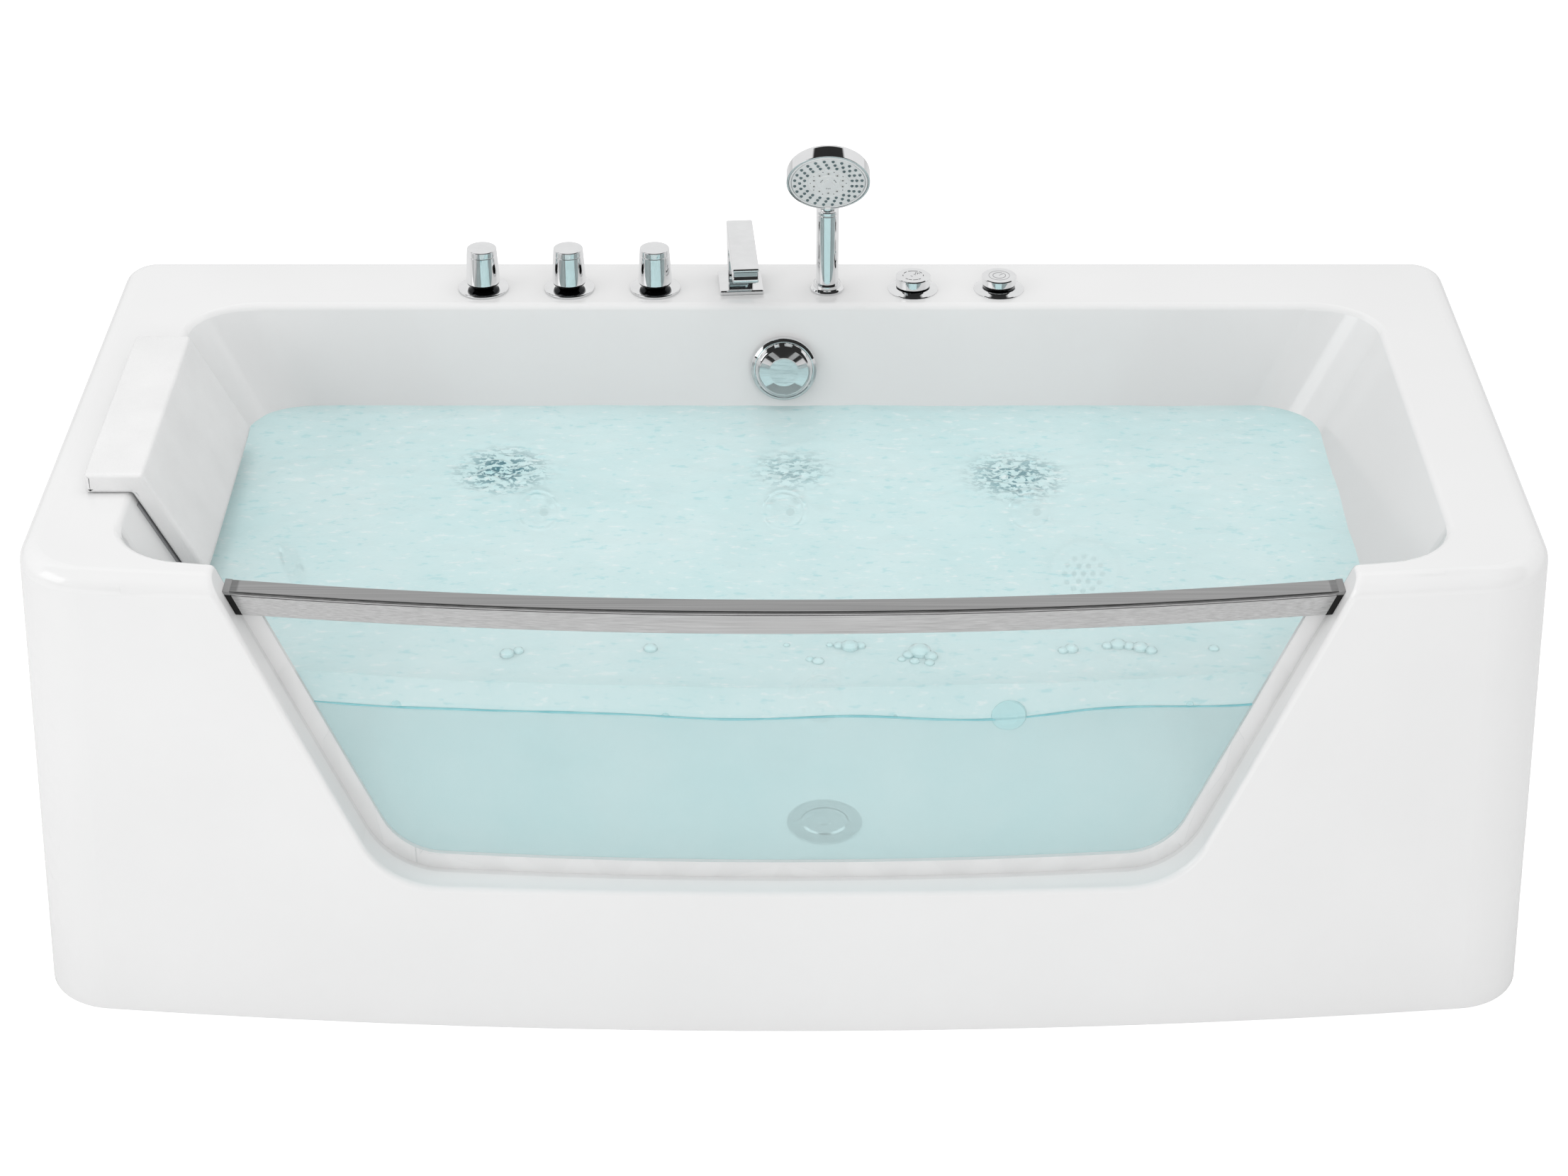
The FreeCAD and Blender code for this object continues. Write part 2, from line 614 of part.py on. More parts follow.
def over_the_notch(edge):
    """Whether an edge runs from the deck down over its rounding, at a side of the notch for the rail."""
    box = edge.BoundBox
    falls = box.ZMax > deck_top - TINY and box.ZMin < number(f"{DECK} - deck_edge_radius/2") and box.YMax < 0
    return falls and max(-box.XMin, box.XMax) < notch_side


rolled = rounded(cut(outside, hollow, basin_form("0")), ("rim_roll_radius", around_basin))
opened = cut(rolled, recess, window_form("-glass_border"), notch)
tub_whole = rounded(opened, ("recess_edge_radius", over_the_notch))
deck_holes = [rod("deck_hole_radius", (in_row(step), ROW_Y, f"{DECK} - 2*wall"), "4*wall")
              for step in range(-3, 4)]
wall_holes = [wall_hole("jet_radius + nut_clearance", at, turn) for at, turn in JETS]
wall_holes.append(wall_hole("overflow_neck + nut_clearance", OVERFLOW_AT, back_wall_turn))
wall_holes.append(wall_hole("jet_radius + nut_clearance", SUCTION_AT, back_wall_turn))
drain_hole = rod("drain_tail_radius + nut_clearance", ("drain_x", DRAIN_Y, "floor_height - 2*wall"), "4*wall")
above_joint = everywhere(RIM_BOTTOM, f"{DECK} + wall")
rim_and_basin = common(tub_whole, fuse(above_joint, basin_outside))
sub_part("tub_shell", cut(rim_and_basin, drain_hole, *deck_holes, *wall_holes))

open_back = block(("-(tub_length/2 - side_flare - back_return)", "tub_length/2 - side_flare - back_return"),
                  ("0", "tub_depth"), ("-wall", DECK))
sub_part("skirt", cut(tub_whole, above_joint, basin_outside, open_back))

board_y = (f"{FRONT} + board_front_inset", f"{BACK} - board_back_inset")
board_half = f"({end_wall_x('floor_height')} - board_end_inset)"
board = block((f"-{board_half}", board_half), board_y, (FRAME_TOP, BOARD_TOP))
trap_hole = rod("trap_radius + nut_clearance", ("drain_x", DRAIN_Y, FRAME_BOTTOM), DECK)
sub_part("base_board", cut(board, trap_hole))


# ---------------------------------------------------------------- frame and feet
FRAME_FRONT_Y = f"({FRONT} + frame_front_inset)"
FRAME_BACK_Y = f"({BACK} - frame_back_inset)"
FRAME_MIDDLE_Y = f"({BACK} - frame_middle_inset)"
FRAME_END_X = f"({FRAME_HALF} - tube/2)"
UNDER_DECK = f"({DECK} - wall - tube)"


def frame_bars(inset):
    """The bars of the frame, or the space inside them when inset by the tube's wall."""
    half = f"(tube/2 - {inset})"
    thick = f"(tube - {inset})"
    length = (f"-{FRAME_HALF} + {inset}", f"{FRAME_HALF} - {inset}")
    depth = (f"{FRAME_FRONT_Y} - {half}", f"{FRAME_BACK_Y} + {half}")
    low = (f"{FRAME_BOTTOM} + {inset}", f"{FRAME_BOTTOM} + {thick}")
    high = (f"{UNDER_DECK} + {inset}", f"{UNDER_DECK} + {thick}")
    rails = ((FRAME_FRONT_Y, low), (FRAME_MIDDLE_Y, low), (FRAME_BACK_Y, low), (FRAME_BACK_Y, high))
    bars = [block(length, (f"{y} - {half}", f"{y} + {half}"), z) for y, z in rails]
    for side in ("-", ""):
        for x, z in ((FRAME_END_X, low), (FRAME_END_X, high), ("cross_tube_x", low)):
            bars.append(block((f"{side}{x} - {half}", f"{side}{x} + {half}"), depth, z))
        for y in (FRAME_FRONT_Y, FRAME_BACK_Y):
            bars.append(block((f"{side}{FRAME_END_X} - {half}", f"{side}{FRAME_END_X} + {half}"),
                              (f"{y} - {half}", f"{y} + {half}"), (low[0], high[1])))
    return fuse(*bars)


foot_places = [(f"{step}*({FRAME_HALF} - foot_inset)", y)
               for y in (FRAME_FRONT_Y, FRAME_BACK_Y) for step in (-1, 0, 1)]
rod_holes = [rod("foot_rod_radius", (x, y, FRAME_BOTTOM), "foot_rod_length + foot_height - " + FRAME_BOTTOM)
             for x, y in foot_places]
sub_part("support_frame", cut(frame_bars("0"), frame_bars("tube_wall"), *rod_holes))
sub_part("levelling_feet", group(*[
    fuse(rod("foot_radius", (x, y, "0"), "foot_height"),
         rod("foot_rod_radius", (x, y, "foot_height"), "foot_rod_length"))
    for x, y in foot_places]))
sub_part("foot_lock_nuts", group(*[
    cut(solid("Prism", {"Circumradius": "foot_nut_radius", "Height": "foot_nut_height"},
              (x, y, f"{FRAME_BOTTOM} - foot_nut_height")),
        rod("foot_rod_radius", (x, y, "0"), FRAME_BOTTOM))
    for x, y in foot_places]))

# ---------------------------------------------------------------- window and rail
pane = cut(window_form("-glass_clearance"), glass_rod("-glass_thickness"))
pane = common(pane, glass_rod("0"))
GLASS_TOP = f"({RAIL_BOTTOM} + rail_slot_depth)"
sub_part("window_glass", common(pane, everywhere("0", GLASS_TOP)))


def rail_length(offset, low, high):
    """A length of the rail's outline, up to the recess's sides less an offset."""
    bar = common(window_form(offset), glass_rod("rail_front", low, high))
    return cut(bar, glass_rod("-(glass_thickness + rail_back)"))


SEAL_TOP = f"({RAIL_TOP} - cap_height)"
slot = cut(glass_rod("rail_slot_clearance", "0", f"{GLASS_TOP} + rail_slot_clearance"),
           glass_rod("-(glass_thickness + rail_slot_clearance)"))
sub_part("top_rail", cut(rail_length("-cap_width", RAIL_BOTTOM, RAIL_TOP), slot))
inner_window = window_form("-cap_width")
rail_end = "-rail_end_clearance"
sub_part("rail_end_caps", cut(rail_length(rail_end, SEAL_TOP, RAIL_TOP), inner_window))
sub_part("rail_end_seals", cut(rail_length(rail_end, RAIL_BOTTOM, SEAL_TOP), inner_window, slot))

# ---------------------------------------------------------------- headrest
HEADREST_Y = ("headrest_centre_y - headrest_length/2", "headrest_centre_y + headrest_length/2")


def along_end_wall(inner, outer, low, high):
    """A slab that follows the reclined wall, between two level distances from it."""
    return taper((f"-{end_wall_x(low)} + {inner}", f"-{end_wall_x(low)} + {outer}"),
                 (f"-{end_wall_x(high)} + {inner}", f"-{end_wall_x(high)} + {outer}"),
                 HEADREST_Y, HEADREST_Y, (low, high))


PAD_TOP = f"({DECK} + headrest_pad)"
deck_pad = block((f"-{BASIN_HALF} - headrest_deck_reach", f"-{BASIN_HALF} + backing_width"), HEADREST_Y,
                 (DECK, PAD_TOP))
wall_pad = along_end_wall("backing_width", "backing_width + headrest_slope_pad", "headrest_bottom", PAD_TOP)
sub_part("headrest_cushion", fuse(deck_pad, wall_pad))
backing = along_end_wall("0", "backing_width", "headrest_bottom", f"{DECK} - backing_drop")
sub_part("headrest_backing", backing)


# ---------------------------------------------------------------- taps
def rosette(x):
    """A low cone on the deck over the head of a valve."""
    dome = cone("rosette_radius", "rosette_neck_radius", (x, ROW_Y, f"{DECK} + rosette_rim"), "rosette_dome")
    body = fuse(rod("rosette_radius", (x, ROW_Y, DECK), "rosette_rim"), dome)
    return cut(body, rod("spindle_radius + 3*nut_clearance", (x, ROW_Y, DECK), "rosette_rim + rosette_dome"))


def tap_knob(name, x):
    low = f"({DECK} + rosette_rim + rosette_dome + moving_gap)"
    waist = f"({low} + knob_bowl_height)"
    top = f"({waist} + knob_height)"
    grip = cone("knob_radius", "knob_top_radius", (x, ROW_Y, waist), "knob_height")
    groove_radius = "(knob_top_radius + knob_groove_below_top/knob_height*(knob_radius - knob_top_radius))"
    groove_low = f"{top} - knob_groove_below_top"
    groove = cut(rod("knob_radius", (x, ROW_Y, groove_low), "knob_groove_width"),
                 rod(f"{groove_radius} - knob_groove_depth", (x, ROW_Y, groove_low), "knob_groove_width"))
    spindle = rod("spindle_radius", (x, ROW_Y, f"{DECK} - spindle_length"),
                  f"{low} - {DECK} + spindle_length")
    bowl = cone("knob_bottom_radius", "knob_radius", (x, ROW_Y, low), "knob_bowl_height")
    return sub_part(name, fuse(cut(grip, groove), bowl, spindle))


VALVE_TOP = f"({DECK} - shank_length)"
VALVE_BOTTOM = f"({VALVE_TOP} - valve_height)"
PORT_Z = f"({VALVE_TOP} - valve_height/2)"


def valve(name, x, ports):
    """A valve under the deck: shank, body, tail below and ports at its sides."""
    pieces = [rod("shank_radius", (x, ROW_Y, VALVE_TOP), "shank_length"),
              rod("valve_radius", (x, ROW_Y, VALVE_BOTTOM), "valve_height")]
    bores = [rod("spindle_radius + spindle_clearance", (x, ROW_Y, f"{DECK} - spindle_length - moving_gap"),
                 "spindle_length + moving_gap")]
    for axis in ports:
        reach = "tail_length" if axis == "-z" else "port_length"
        radius = "tail_radius" if axis == "-z" else "port_radius"
        bore = "tail_bore_radius" if axis == "-z" else "copper_radius - copper_wall"
        start = {"-z": (x, ROW_Y, VALVE_BOTTOM), "y": (x, ROW_Y, PORT_Z), "x": (x, ROW_Y, PORT_Z)}[axis]
        length = reach if axis == "-z" else f"valve_radius + {reach}"
        pieces.append(rod(radius, start, length, axis))
        bores.append(rod(bore, (x, ROW_Y, PORT_Z), f"valve_height/2 + {reach}", axis))
    return sub_part(name, cut(fuse(*pieces), *bores))


HOT_X, COLD_X, DIVERTER_X, SHOWER_X, AIR_X, BUTTON_X = [in_row(step) for step in (-3, -2, -1, 1, 2, 3)]
tap_knob("hot_tap_knob", HOT_X)
tap_knob("cold_tap_knob", COLD_X)
tap_knob("diverter_knob", DIVERTER_X)
sub_part("tap_rosettes", group(*[rosette(x) for x in (HOT_X, COLD_X, DIVERTER_X)]))
valve("hot_valve_body", HOT_X, ("-z", "y"))
valve("cold_valve_body", COLD_X, ("-z", "y"))
valve("diverter_body", DIVERTER_X, ("y", "x"))


def lock_nut(x):
    low = f"{DECK} - wall - nut_height"
    nut = solid("Prism", {"Circumradius": "nut_radius", "Height": "nut_height"}, (x, ROW_Y, low))
    return cut(nut, rod("shank_radius + nut_clearance", (x, ROW_Y, low), "nut_height"))


sub_part("deck_lock_nuts", group(*[lock_nut(in_row(step)) for step in range(-3, 4)]))
PORT_END_Y = f"({ROW_Y} + valve_radius + port_length)"
MIX_Y = f"({PORT_END_Y} + copper_bend + pipe_straight)"
mixing_route = [(HOT_X, PORT_END_Y, PORT_Z), (HOT_X, MIX_Y, PORT_Z),
                (DIVERTER_X, MIX_Y, PORT_Z), (DIVERTER_X, PORT_END_Y, PORT_Z)]
pipe("mixing_pipe", "copper_wall", "copper_bend", ("copper_radius", mixing_route))
spout_route = [(f"{DIVERTER_X} + valve_radius + port_length", ROW_Y, PORT_Z),
               ("spout_x", ROW_Y, PORT_Z), ("spout_x", ROW_Y, VALVE_TOP)]
pipe("spout_pipe", "copper_wall", "copper_bend", ("copper_radius", spout_route))

# ---------------------------------------------------------------- waterfall spout
plate = block(("-spout_base_width/2", "spout_base_width/2"),
              ("spout_base_back - spout_base_depth", "spout_base_back"), ("0", "spout_base_height"))
plate = cut(plate, rod("shank_radius", ("0", "0", "0"), "spout_base_height"))
spout_turn = FreeCAD.Rotation(FreeCAD.Vector(0, 0, 1), number("spout_turn"))
sub_part("spout_base_plate", place(plate, ("spout_x", ROW_Y, DECK), spout_turn))
half_spout = "spout_width/2"
arm = block((f"-{half_spout}", half_spout), ("-spout_reach", "spout_back"),
            ("spout_rise - spout_thickness", "spout_rise"))
column = block((f"-{half_spout}", half_spout), ("spout_back - spout_column", "spout_back"),
               ("spout_base_height", "spout_rise"))
foot = block((f"-{half_spout}", half_spout), ("-shank_radius", "spout_back"),
             ("spout_base_height", "2*spout_base_height"))
mouth = block((f"-{half_spout} + outlet_wall", f"{half_spout} - outlet_wall"),
              ("-spout_reach + outlet_wall", "-spout_reach + outlet_wall + outlet_length"),
              ("spout_rise - spout_thickness", "spout_rise - spout_thickness + outlet_depth"))
shank = rod("shank_radius", ("0", "0", "-shank_length"), "shank_length + spout_base_height")
waterway = rod("copper_radius - copper_wall", ("0", "0", "-shank_length"), "shank_length")
spout = cut(fuse(arm, column, foot, shank), mouth, waterway)
sub_part("waterfall_spout", place(spout, ("spout_x", ROW_Y, DECK), spout_turn))

# ---------------------------------------------------------------- hand shower
HOLDER_TOP = f"({DECK} + holder_rim + holder_neck_height)"
holder = fuse(rod("holder_radius", (SHOWER_X, ROW_Y, DECK), "holder_rim"),
              rod("holder_neck_radius", (SHOWER_X, ROW_Y, DECK), "holder_rim + holder_neck_height"),
              rod("shank_radius", (SHOWER_X, ROW_Y, VALVE_TOP), "shank_length"))
SLEEVE_BOTTOM = f"({HOLDER_TOP} - sleeve_length)"
sub_part("shower_holder", cut(
    holder, rod("sleeve_radius + sleeve_clearance", (SHOWER_X, ROW_Y, SLEEVE_BOTTOM), "sleeve_length"),
    rod("tail_bore_radius", (SHOWER_X, ROW_Y, VALVE_TOP), "shank_length")))
sleeve = rod("sleeve_radius", (SHOWER_X, ROW_Y, f"{SLEEVE_BOTTOM} + moving_gap"),
             "sleeve_length - moving_gap")
sub_part("shower_sleeve", cut(
    sleeve, rod("handle_radius + handle_clearance", (SHOWER_X, ROW_Y, f"{DECK} - handle_tail - moving_gap"),
                "sleeve_length"),
    rod("tail_bore_radius", (SHOWER_X, ROW_Y, SLEEVE_BOTTOM), "sleeve_length")))

# The head is modelled along its own +Z, the way the spray leaves, from the middle of its spray face.
head_turn = FreeCAD.Rotation(FreeCAD.Vector(1, 0, 0), 90 + number("head_tilt"))
HEAD_AT = (SHOWER_X, f"{ROW_Y} - head_forward", f"{DECK} + head_rise")
SELECTOR_RADIUS = "(face_radius + face_gap + selector_width)"


def on_head(thing):
    return place(thing, HEAD_AT, head_turn)


def on_ring(radius, count):
    """Places spread evenly on a ring about the origin."""
    angles = [f"{360/count*step} deg" for step in range(count)]
    return [(f"({radius})*cos({angle})", f"({radius})*sin({angle})", "0") for angle in angles]


head = cut(rod("head_radius", ("0", "0", "-head_thickness"), "head_thickness"),
           rod("face_radius", ("0", "0", "-face_depth"), "face_depth"),
           rod(f"{SELECTOR_RADIUS} + face_gap", ("0", "0", "-selector_depth - face_gap"),
               "selector_depth + face_gap"))
handle = rod("handle_radius", (SHOWER_X, ROW_Y, f"{DECK} - handle_tail"), "handle_tail + handle_top")
neck = rod("neck_radius", (SHOWER_X, ROW_Y, f"{DECK} + handle_top"), "neck_height")
sub_part("handset_body", fuse(handle, neck, on_head(head)))
spray_plate = rod("face_radius", ("0", "0", "-face_depth"), "face_depth")
NOZZLE_RINGS = (("face_radius - nozzle_edge", 24), ("face_radius - nozzle_edge - nozzle_pitch", 21),
                ("face_radius - nozzle_edge - 2*nozzle_pitch", 18), ("nozzle_inner_ring", 10))
nozzles = [rod("nozzle_radius", at, "nozzle_height")
           for radius, count in NOZZLE_RINGS for at in on_ring(radius, count)]
sub_part("spray_face", on_head(fuse(spray_plate, *nozzles)))
ring = cut(rod(SELECTOR_RADIUS, ("0", "0", "-selector_depth"), "selector_depth"),
           rod("face_radius + face_gap", ("0", "0", "-selector_depth"), "selector_depth"))
tab = block(("-selector_tab/2", "selector_tab/2"), (f"-{SELECTOR_RADIUS}", "-face_radius - face_gap"),
            ("-selector_depth", "selector_width"))
sub_part("spray_selector", on_head(fuse(ring, tab)))


# ---------------------------------------------------------------- air control and on/off button
def control_flange(x):
    """A flange with a shank, open from its top for the stem of what it carries."""
    body = fuse(rod("rosette_radius", (x, ROW_Y, DECK), "rosette_rim"),
                cone("rosette_radius", "control_radius", (x, ROW_Y, f"{DECK} + rosette_rim"),
                     "control_flange - rosette_rim"),
                rod("shank_radius", (x, ROW_Y, VALVE_TOP), "shank_length"))
    return cut(body, rod("spindle_radius + spindle_clearance", (x, ROW_Y, VALVE_TOP),
                         "shank_length + control_flange"))


sub_part("control_flanges", group(control_flange(AIR_X), control_flange(BUTTON_X)))
CONTROL_Z = f"({DECK} + control_flange + moving_gap)"
air_disc = rod("control_radius", (AIR_X, ROW_Y, CONTROL_Z), "control_height")
air_stem = rod("spindle_radius", (AIR_X, ROW_Y, f"{VALVE_TOP} - moving_gap"),
               f"{CONTROL_Z} - {VALVE_TOP} + moving_gap")
sub_part("air_control_knob", fuse(air_disc, air_stem))
BUTTON_Z = f"({CONTROL_Z} + button_travel)"
button_disc = rod("control_radius", (BUTTON_X, ROW_Y, BUTTON_Z), "control_height - button_travel")
button_stem = rod("spindle_radius", (BUTTON_X, ROW_Y, VALVE_TOP), f"{BUTTON_Z} - {VALVE_TOP}")
sub_part("power_button", fuse(button_disc, button_stem))
air_valve = cut(rod("valve_radius", (AIR_X, ROW_Y, VALVE_BOTTOM), f"{VALVE_TOP} - {VALVE_BOTTOM}"),
                rod("spindle_radius + spindle_clearance", (AIR_X, ROW_Y, f"{VALVE_TOP} - 2*moving_gap"),
                    "2*moving_gap"),
                rod("air_drop_radius - air_pipe_wall", (AIR_X, ROW_Y, VALVE_BOTTOM), "valve_height/2"))
sub_part("air_valve_body", air_valve)
cup = cut(rod("bellows_radius", (BUTTON_X, ROW_Y, f"{VALVE_TOP} - bellows_height"), "bellows_height"),
          rod("bellows_well_radius", (BUTTON_X, ROW_Y, f"{VALVE_TOP} - bellows_height + bellows_wall"),
              "bellows_height - bellows_wall"))
sub_part("button_bellows", cup)

# ---------------------------------------------------------------- overflow, drain and waste
overflow = fuse(rod("overflow_neck", ("0", "0", "-overflow_depth"), "overflow_depth"),
                rod("overflow_flange", ("0", "0", "0"), "overflow_flange_height"),
                rod("overflow_flange", ("0", "0", "-wall - jet_flange_height"), "jet_flange_height"))
overflow_bore = rod("overflow_neck - waste_wall", ("0", "0", "-overflow_depth + waste_wall"),
                    "overflow_depth - 2*waste_wall")
knob_hole = rod("spindle_radius + spindle_clearance", ("0", "0", "-2*waste_wall"), "overflow_depth")
way_in = [rod("waste_wall", ("0", f"{side}*(overflow_neck - 3*waste_wall)", "-2*waste_wall"),
              "overflow_depth") for side in (-1, 1)]
overflow = cut(overflow, overflow_bore, knob_hole, *way_in)
sub_part("overflow_body", place(overflow, OVERFLOW_AT, back_wall_turn()))
OVERFLOW_GAP = "(overflow_flange_height + moving_gap)"
knob_rim = rod("overflow_radius", ("0", "0", OVERFLOW_GAP), "overflow_rim")
knob_dome = cone("overflow_radius", "overflow_radius - overflow_dome",
                 ("0", "0", f"{OVERFLOW_GAP} + overflow_rim"), "overflow_dome")
knob_stem = rod("spindle_radius", ("0", "0", "-2*waste_wall"), f"2*waste_wall + {OVERFLOW_GAP}")
sub_part("overflow_knob", place(fuse(knob_rim, knob_dome, knob_stem), OVERFLOW_AT, back_wall_turn()))
OVERFLOW_END_Y = f"({OVERFLOW_AT[1]} + {BACK_COS}*overflow_depth)"
OVERFLOW_END_Z = f"({OVERFLOW_Z} - {BACK_SIN}*overflow_depth)"
OVERFLOW_RUN_Y = f"({PIPE_Y} + water_pipe_radius + waste_radius + waste_wall)"
OVERFLOW_RUN_Z = f"({OVERFLOW_END_Z} - {BACK_SIN}/{BACK_COS}*({OVERFLOW_RUN_Y} - {OVERFLOW_END_Y}))"

drain_flange = fuse(rod("drain_radius", ("drain_x", DRAIN_Y, "floor_height"), "drain_rim"),
                    rod("drain_tail_radius", ("drain_x", DRAIN_Y, FRAME_TOP), f"floor_height - {FRAME_TOP}"))
spider = rod("plug_stem_radius + spindle_clearance", ("drain_x", DRAIN_Y, FRAME_BOTTOM), "tub_height")
bridge_half = "(plug_stem_radius + drain_rim)"
bridge = block(("drain_x - drain_bore_radius", "drain_x + drain_bore_radius"),
               (f"{DRAIN_Y} - {bridge_half}", f"{DRAIN_Y} + {bridge_half}"),
               (FRAME_TOP, f"{FRAME_TOP} + plug_stem_radius"))
drain_bore = cut(rod("drain_bore_radius", ("drain_x", DRAIN_Y, FRAME_BOTTOM), "tub_height"), bridge)
seat = rod("plug_radius + moving_gap", ("drain_x", DRAIN_Y, "floor_height - plug_height + drain_rim"),
           "plug_height")
sub_part("drain_flange", cut(drain_flange, drain_bore, spider, seat))
PLUG_Z = "(floor_height + drain_rim - plug_height + moving_gap)"
plug = fuse(rod("plug_radius", ("drain_x", DRAIN_Y, PLUG_Z), "plug_height"),
            rod("plug_stem_radius", ("drain_x", DRAIN_Y, f"{PLUG_Z} - plug_stem_length"), "plug_stem_length"))
sub_part("drain_plug", plug)
trap = rod("trap_radius", ("drain_x", DRAIN_Y, "trap_bottom"), f"{FRAME_TOP} - trap_bottom")
trap_bore = rod("trap_radius - waste_wall", ("drain_x", DRAIN_Y, "trap_bottom + waste_wall"),
                f"{FRAME_TOP} - trap_bottom")
inlet_hole = rod("waste_radius - waste_wall", ("drain_x", DRAIN_Y, "waste_height"), "2*trap_radius", "y")
outlet_hole = rod("waste_radius - waste_wall", ("drain_x", DRAIN_Y, "waste_height"), "2*trap_radius", "-x")
sub_part("waste_trap", cut(trap, trap_bore, inlet_hole, outlet_hole))
overflow_route = [("0", OVERFLOW_END_Y, OVERFLOW_END_Z), ("0", OVERFLOW_RUN_Y, OVERFLOW_RUN_Z),
                  ("0", OVERFLOW_RUN_Y, "waste_height"),
                  ("drain_x", f"{OVERFLOW_RUN_Y} - overflow_cross_run", "waste_height"),
                  ("drain_x", f"{DRAIN_Y} + trap_radius", "waste_height")]
pipe("overflow_pipe", "waste_wall", "waste_bend", ("waste_radius", overflow_route))
outlet_route = [("drain_x - trap_radius", DRAIN_Y, "waste_height"),
                ("waste_outlet_x", DRAIN_Y, "waste_height"),
                ("waste_outlet_x", f"{BACK} - waste_outlet_inset", "waste_height")]
pipe("waste_outlet", "waste_wall", "waste_bend", ("waste_radius", outlet_route))


# ---------------------------------------------------------------- jets
def jet_body(along):
    """A jet's body through the wall, with its nut flange, and a tail seated on the water pipe."""
    body = fuse(rod("jet_radius", ("0", "0", "-jet_length"), "jet_length"),
                rod("jet_tail_radius", ("0", "0", f"-{JET_TO_PIPE}"), JET_TO_PIPE),
                rod("jet_flange_radius", ("0", "0", "-wall - jet_flange_height"), "jet_flange_height"))
    starts = {"x": ("-jet_flange_radius", "0"), "y": ("0", "-jet_flange_radius")}
    start = (*starts[along], f"-{JET_TO_PIPE}")
    return cut(body, rod("water_pipe_radius", start, "2*jet_flange_radius", along),
               rod("air_port_radius", ("0", "0", f"-{JET_TO_PIPE}"), JET_TO_PIPE),
               rod("jet_throat_radius", ("0", "0", "-jet_length/2"), "jet_length/2"))


def jet_ring():
    """The ring that clamps a jet to the wall from inside the basin."""
    ring = rod("jet_ring_radius", ("0", "0", "0"), "jet_ring_height")
    seat = rod("nozzle_ring_radius + jet_face_clearance", ("0", "0", "jet_face_clearance"), "jet_ring_height")
    return cut(ring, seat, rod("jet_throat_radius", ("0", "0", "0"), "jet_ring_height"))


def jet_nozzle():
    """The face that is turned by hand to open and close a jet."""
    face = rod("nozzle_ring_radius", ("0", "0", "2*jet_face_clearance"), "jet_ring_height")
    boss = cone("nozzle_ring_radius - jet_boss_rim", "jet_orifice_radius + jet_orifice_offset + jet_boss_rim",
                ("0", "0", "jet_ring_height + 2*jet_face_clearance"), "jet_ring_height/2")
    hole = rod("jet_orifice_radius", ("jet_orifice_offset", "0", "0"), "2*jet_ring_height")
    return cut(fuse(face, boss), hole)


sub_part("jet_bodies", group(*[place(jet_body("x" if turn is back_wall_turn else "y"), at, turn())
                               for at, turn in JETS]))
sub_part("jet_rings", group(*[place(jet_ring(), at, turn()) for at, turn in JETS]))
for count, (at, turn) in enumerate(JETS, start=1):
    sub_part(f"jet_nozzle_{count}", place(jet_nozzle(), at, turn()))

# ---------------------------------------------------------------- suction fitting and pipework
suction = fuse(rod("jet_radius", ("0", "0", "-jet_length"), "jet_length"),
               rod("jet_flange_radius", ("0", "0", "-wall - jet_flange_height"), "jet_flange_height"),
               rod("suction_radius - suction_grille_height", ("0", "0", "0"), "wall/2"))
suction = cut(suction, rod("jet_throat_radius", ("0", "0", "-jet_length"), "jet_length + wall"))
sub_part("suction_fitting", place(suction, SUCTION_AT, back_wall_turn()))
grille = cut(rod("suction_radius", ("0", "0", "0"), "suction_grille_height"),
             rod("suction_radius - suction_grille_height", ("0", "0", "0"), "wall"))
GRILLE_RINGS = (("0", 1), ("suction_hole_pitch", 6), ("2*suction_hole_pitch", 12))
grille_holes = [rod("suction_hole_radius", at, "2*suction_grille_height")
                for radius, count in GRILLE_RINGS for at in on_ring(radius, count)]
sub_part("suction_grille", place(cut(grille, *grille_holes), SUCTION_AT, back_wall_turn()))

VOLUTE_BACK = f"({FRAME_MIDDLE_Y} - volute_inset)"
VOLUTE_FRONT = f"({VOLUTE_BACK} - volute_length)"
PUMP_OUTLET_Y = f"({VOLUTE_BACK} - volute_length/2)"
OUTLET_TOP = f"({PIPE_Z} - water_pipe_bend - pipe_straight)"
SUCTION_END_Y = f"({SUCTION_AT[1]} + {BACK_COS}*jet_length)"
SUCTION_END_Z = f"(suction_height - {BACK_SIN}*jet_length)"
SUCTION_RUN_Y = f"({SUCTION_END_Y} + {BACK_COS}*suction_run)"
SUCTION_RUN_Z = f"({SUCTION_END_Z} - {BACK_SIN}*suction_run)"
suction_route = [("suction_x", SUCTION_END_Y, SUCTION_END_Z), ("suction_x", SUCTION_RUN_Y, SUCTION_RUN_Z),
                 (PUMP_X, SUCTION_RUN_Y, PUMP_Z), (PUMP_X, f"{VOLUTE_BACK} + volute_wall", PUMP_Z)]
pipe("suction_pipe", "water_pipe_wall", "water_pipe_bend", ("water_pipe_radius", suction_route))
water_route = [(PUMP_X, PUMP_OUTLET_Y, OUTLET_TOP), (PUMP_X, PUMP_OUTLET_Y, PIPE_Z),
               (PUMP_X, PIPE_Y, PIPE_Z), (PIPE_X, PIPE_Y, PIPE_Z),
               (PIPE_X, "headrest_centre_y - end_jet_pitch/2 - water_pipe_bend", PIPE_Z)]
pipe("water_manifold", "water_pipe_wall", "water_pipe_bend", ("water_pipe_radius", water_route))
AIR_Z = "(jet_height + air_pipe_rise)"
AIR_Y = f"({back_wall_y(AIR_Z)} + wall + 2*air_pipe_radius)"
AIR_END_X = f"(-{end_wall_x(AIR_Z)} - wall - 2*air_pipe_radius)"
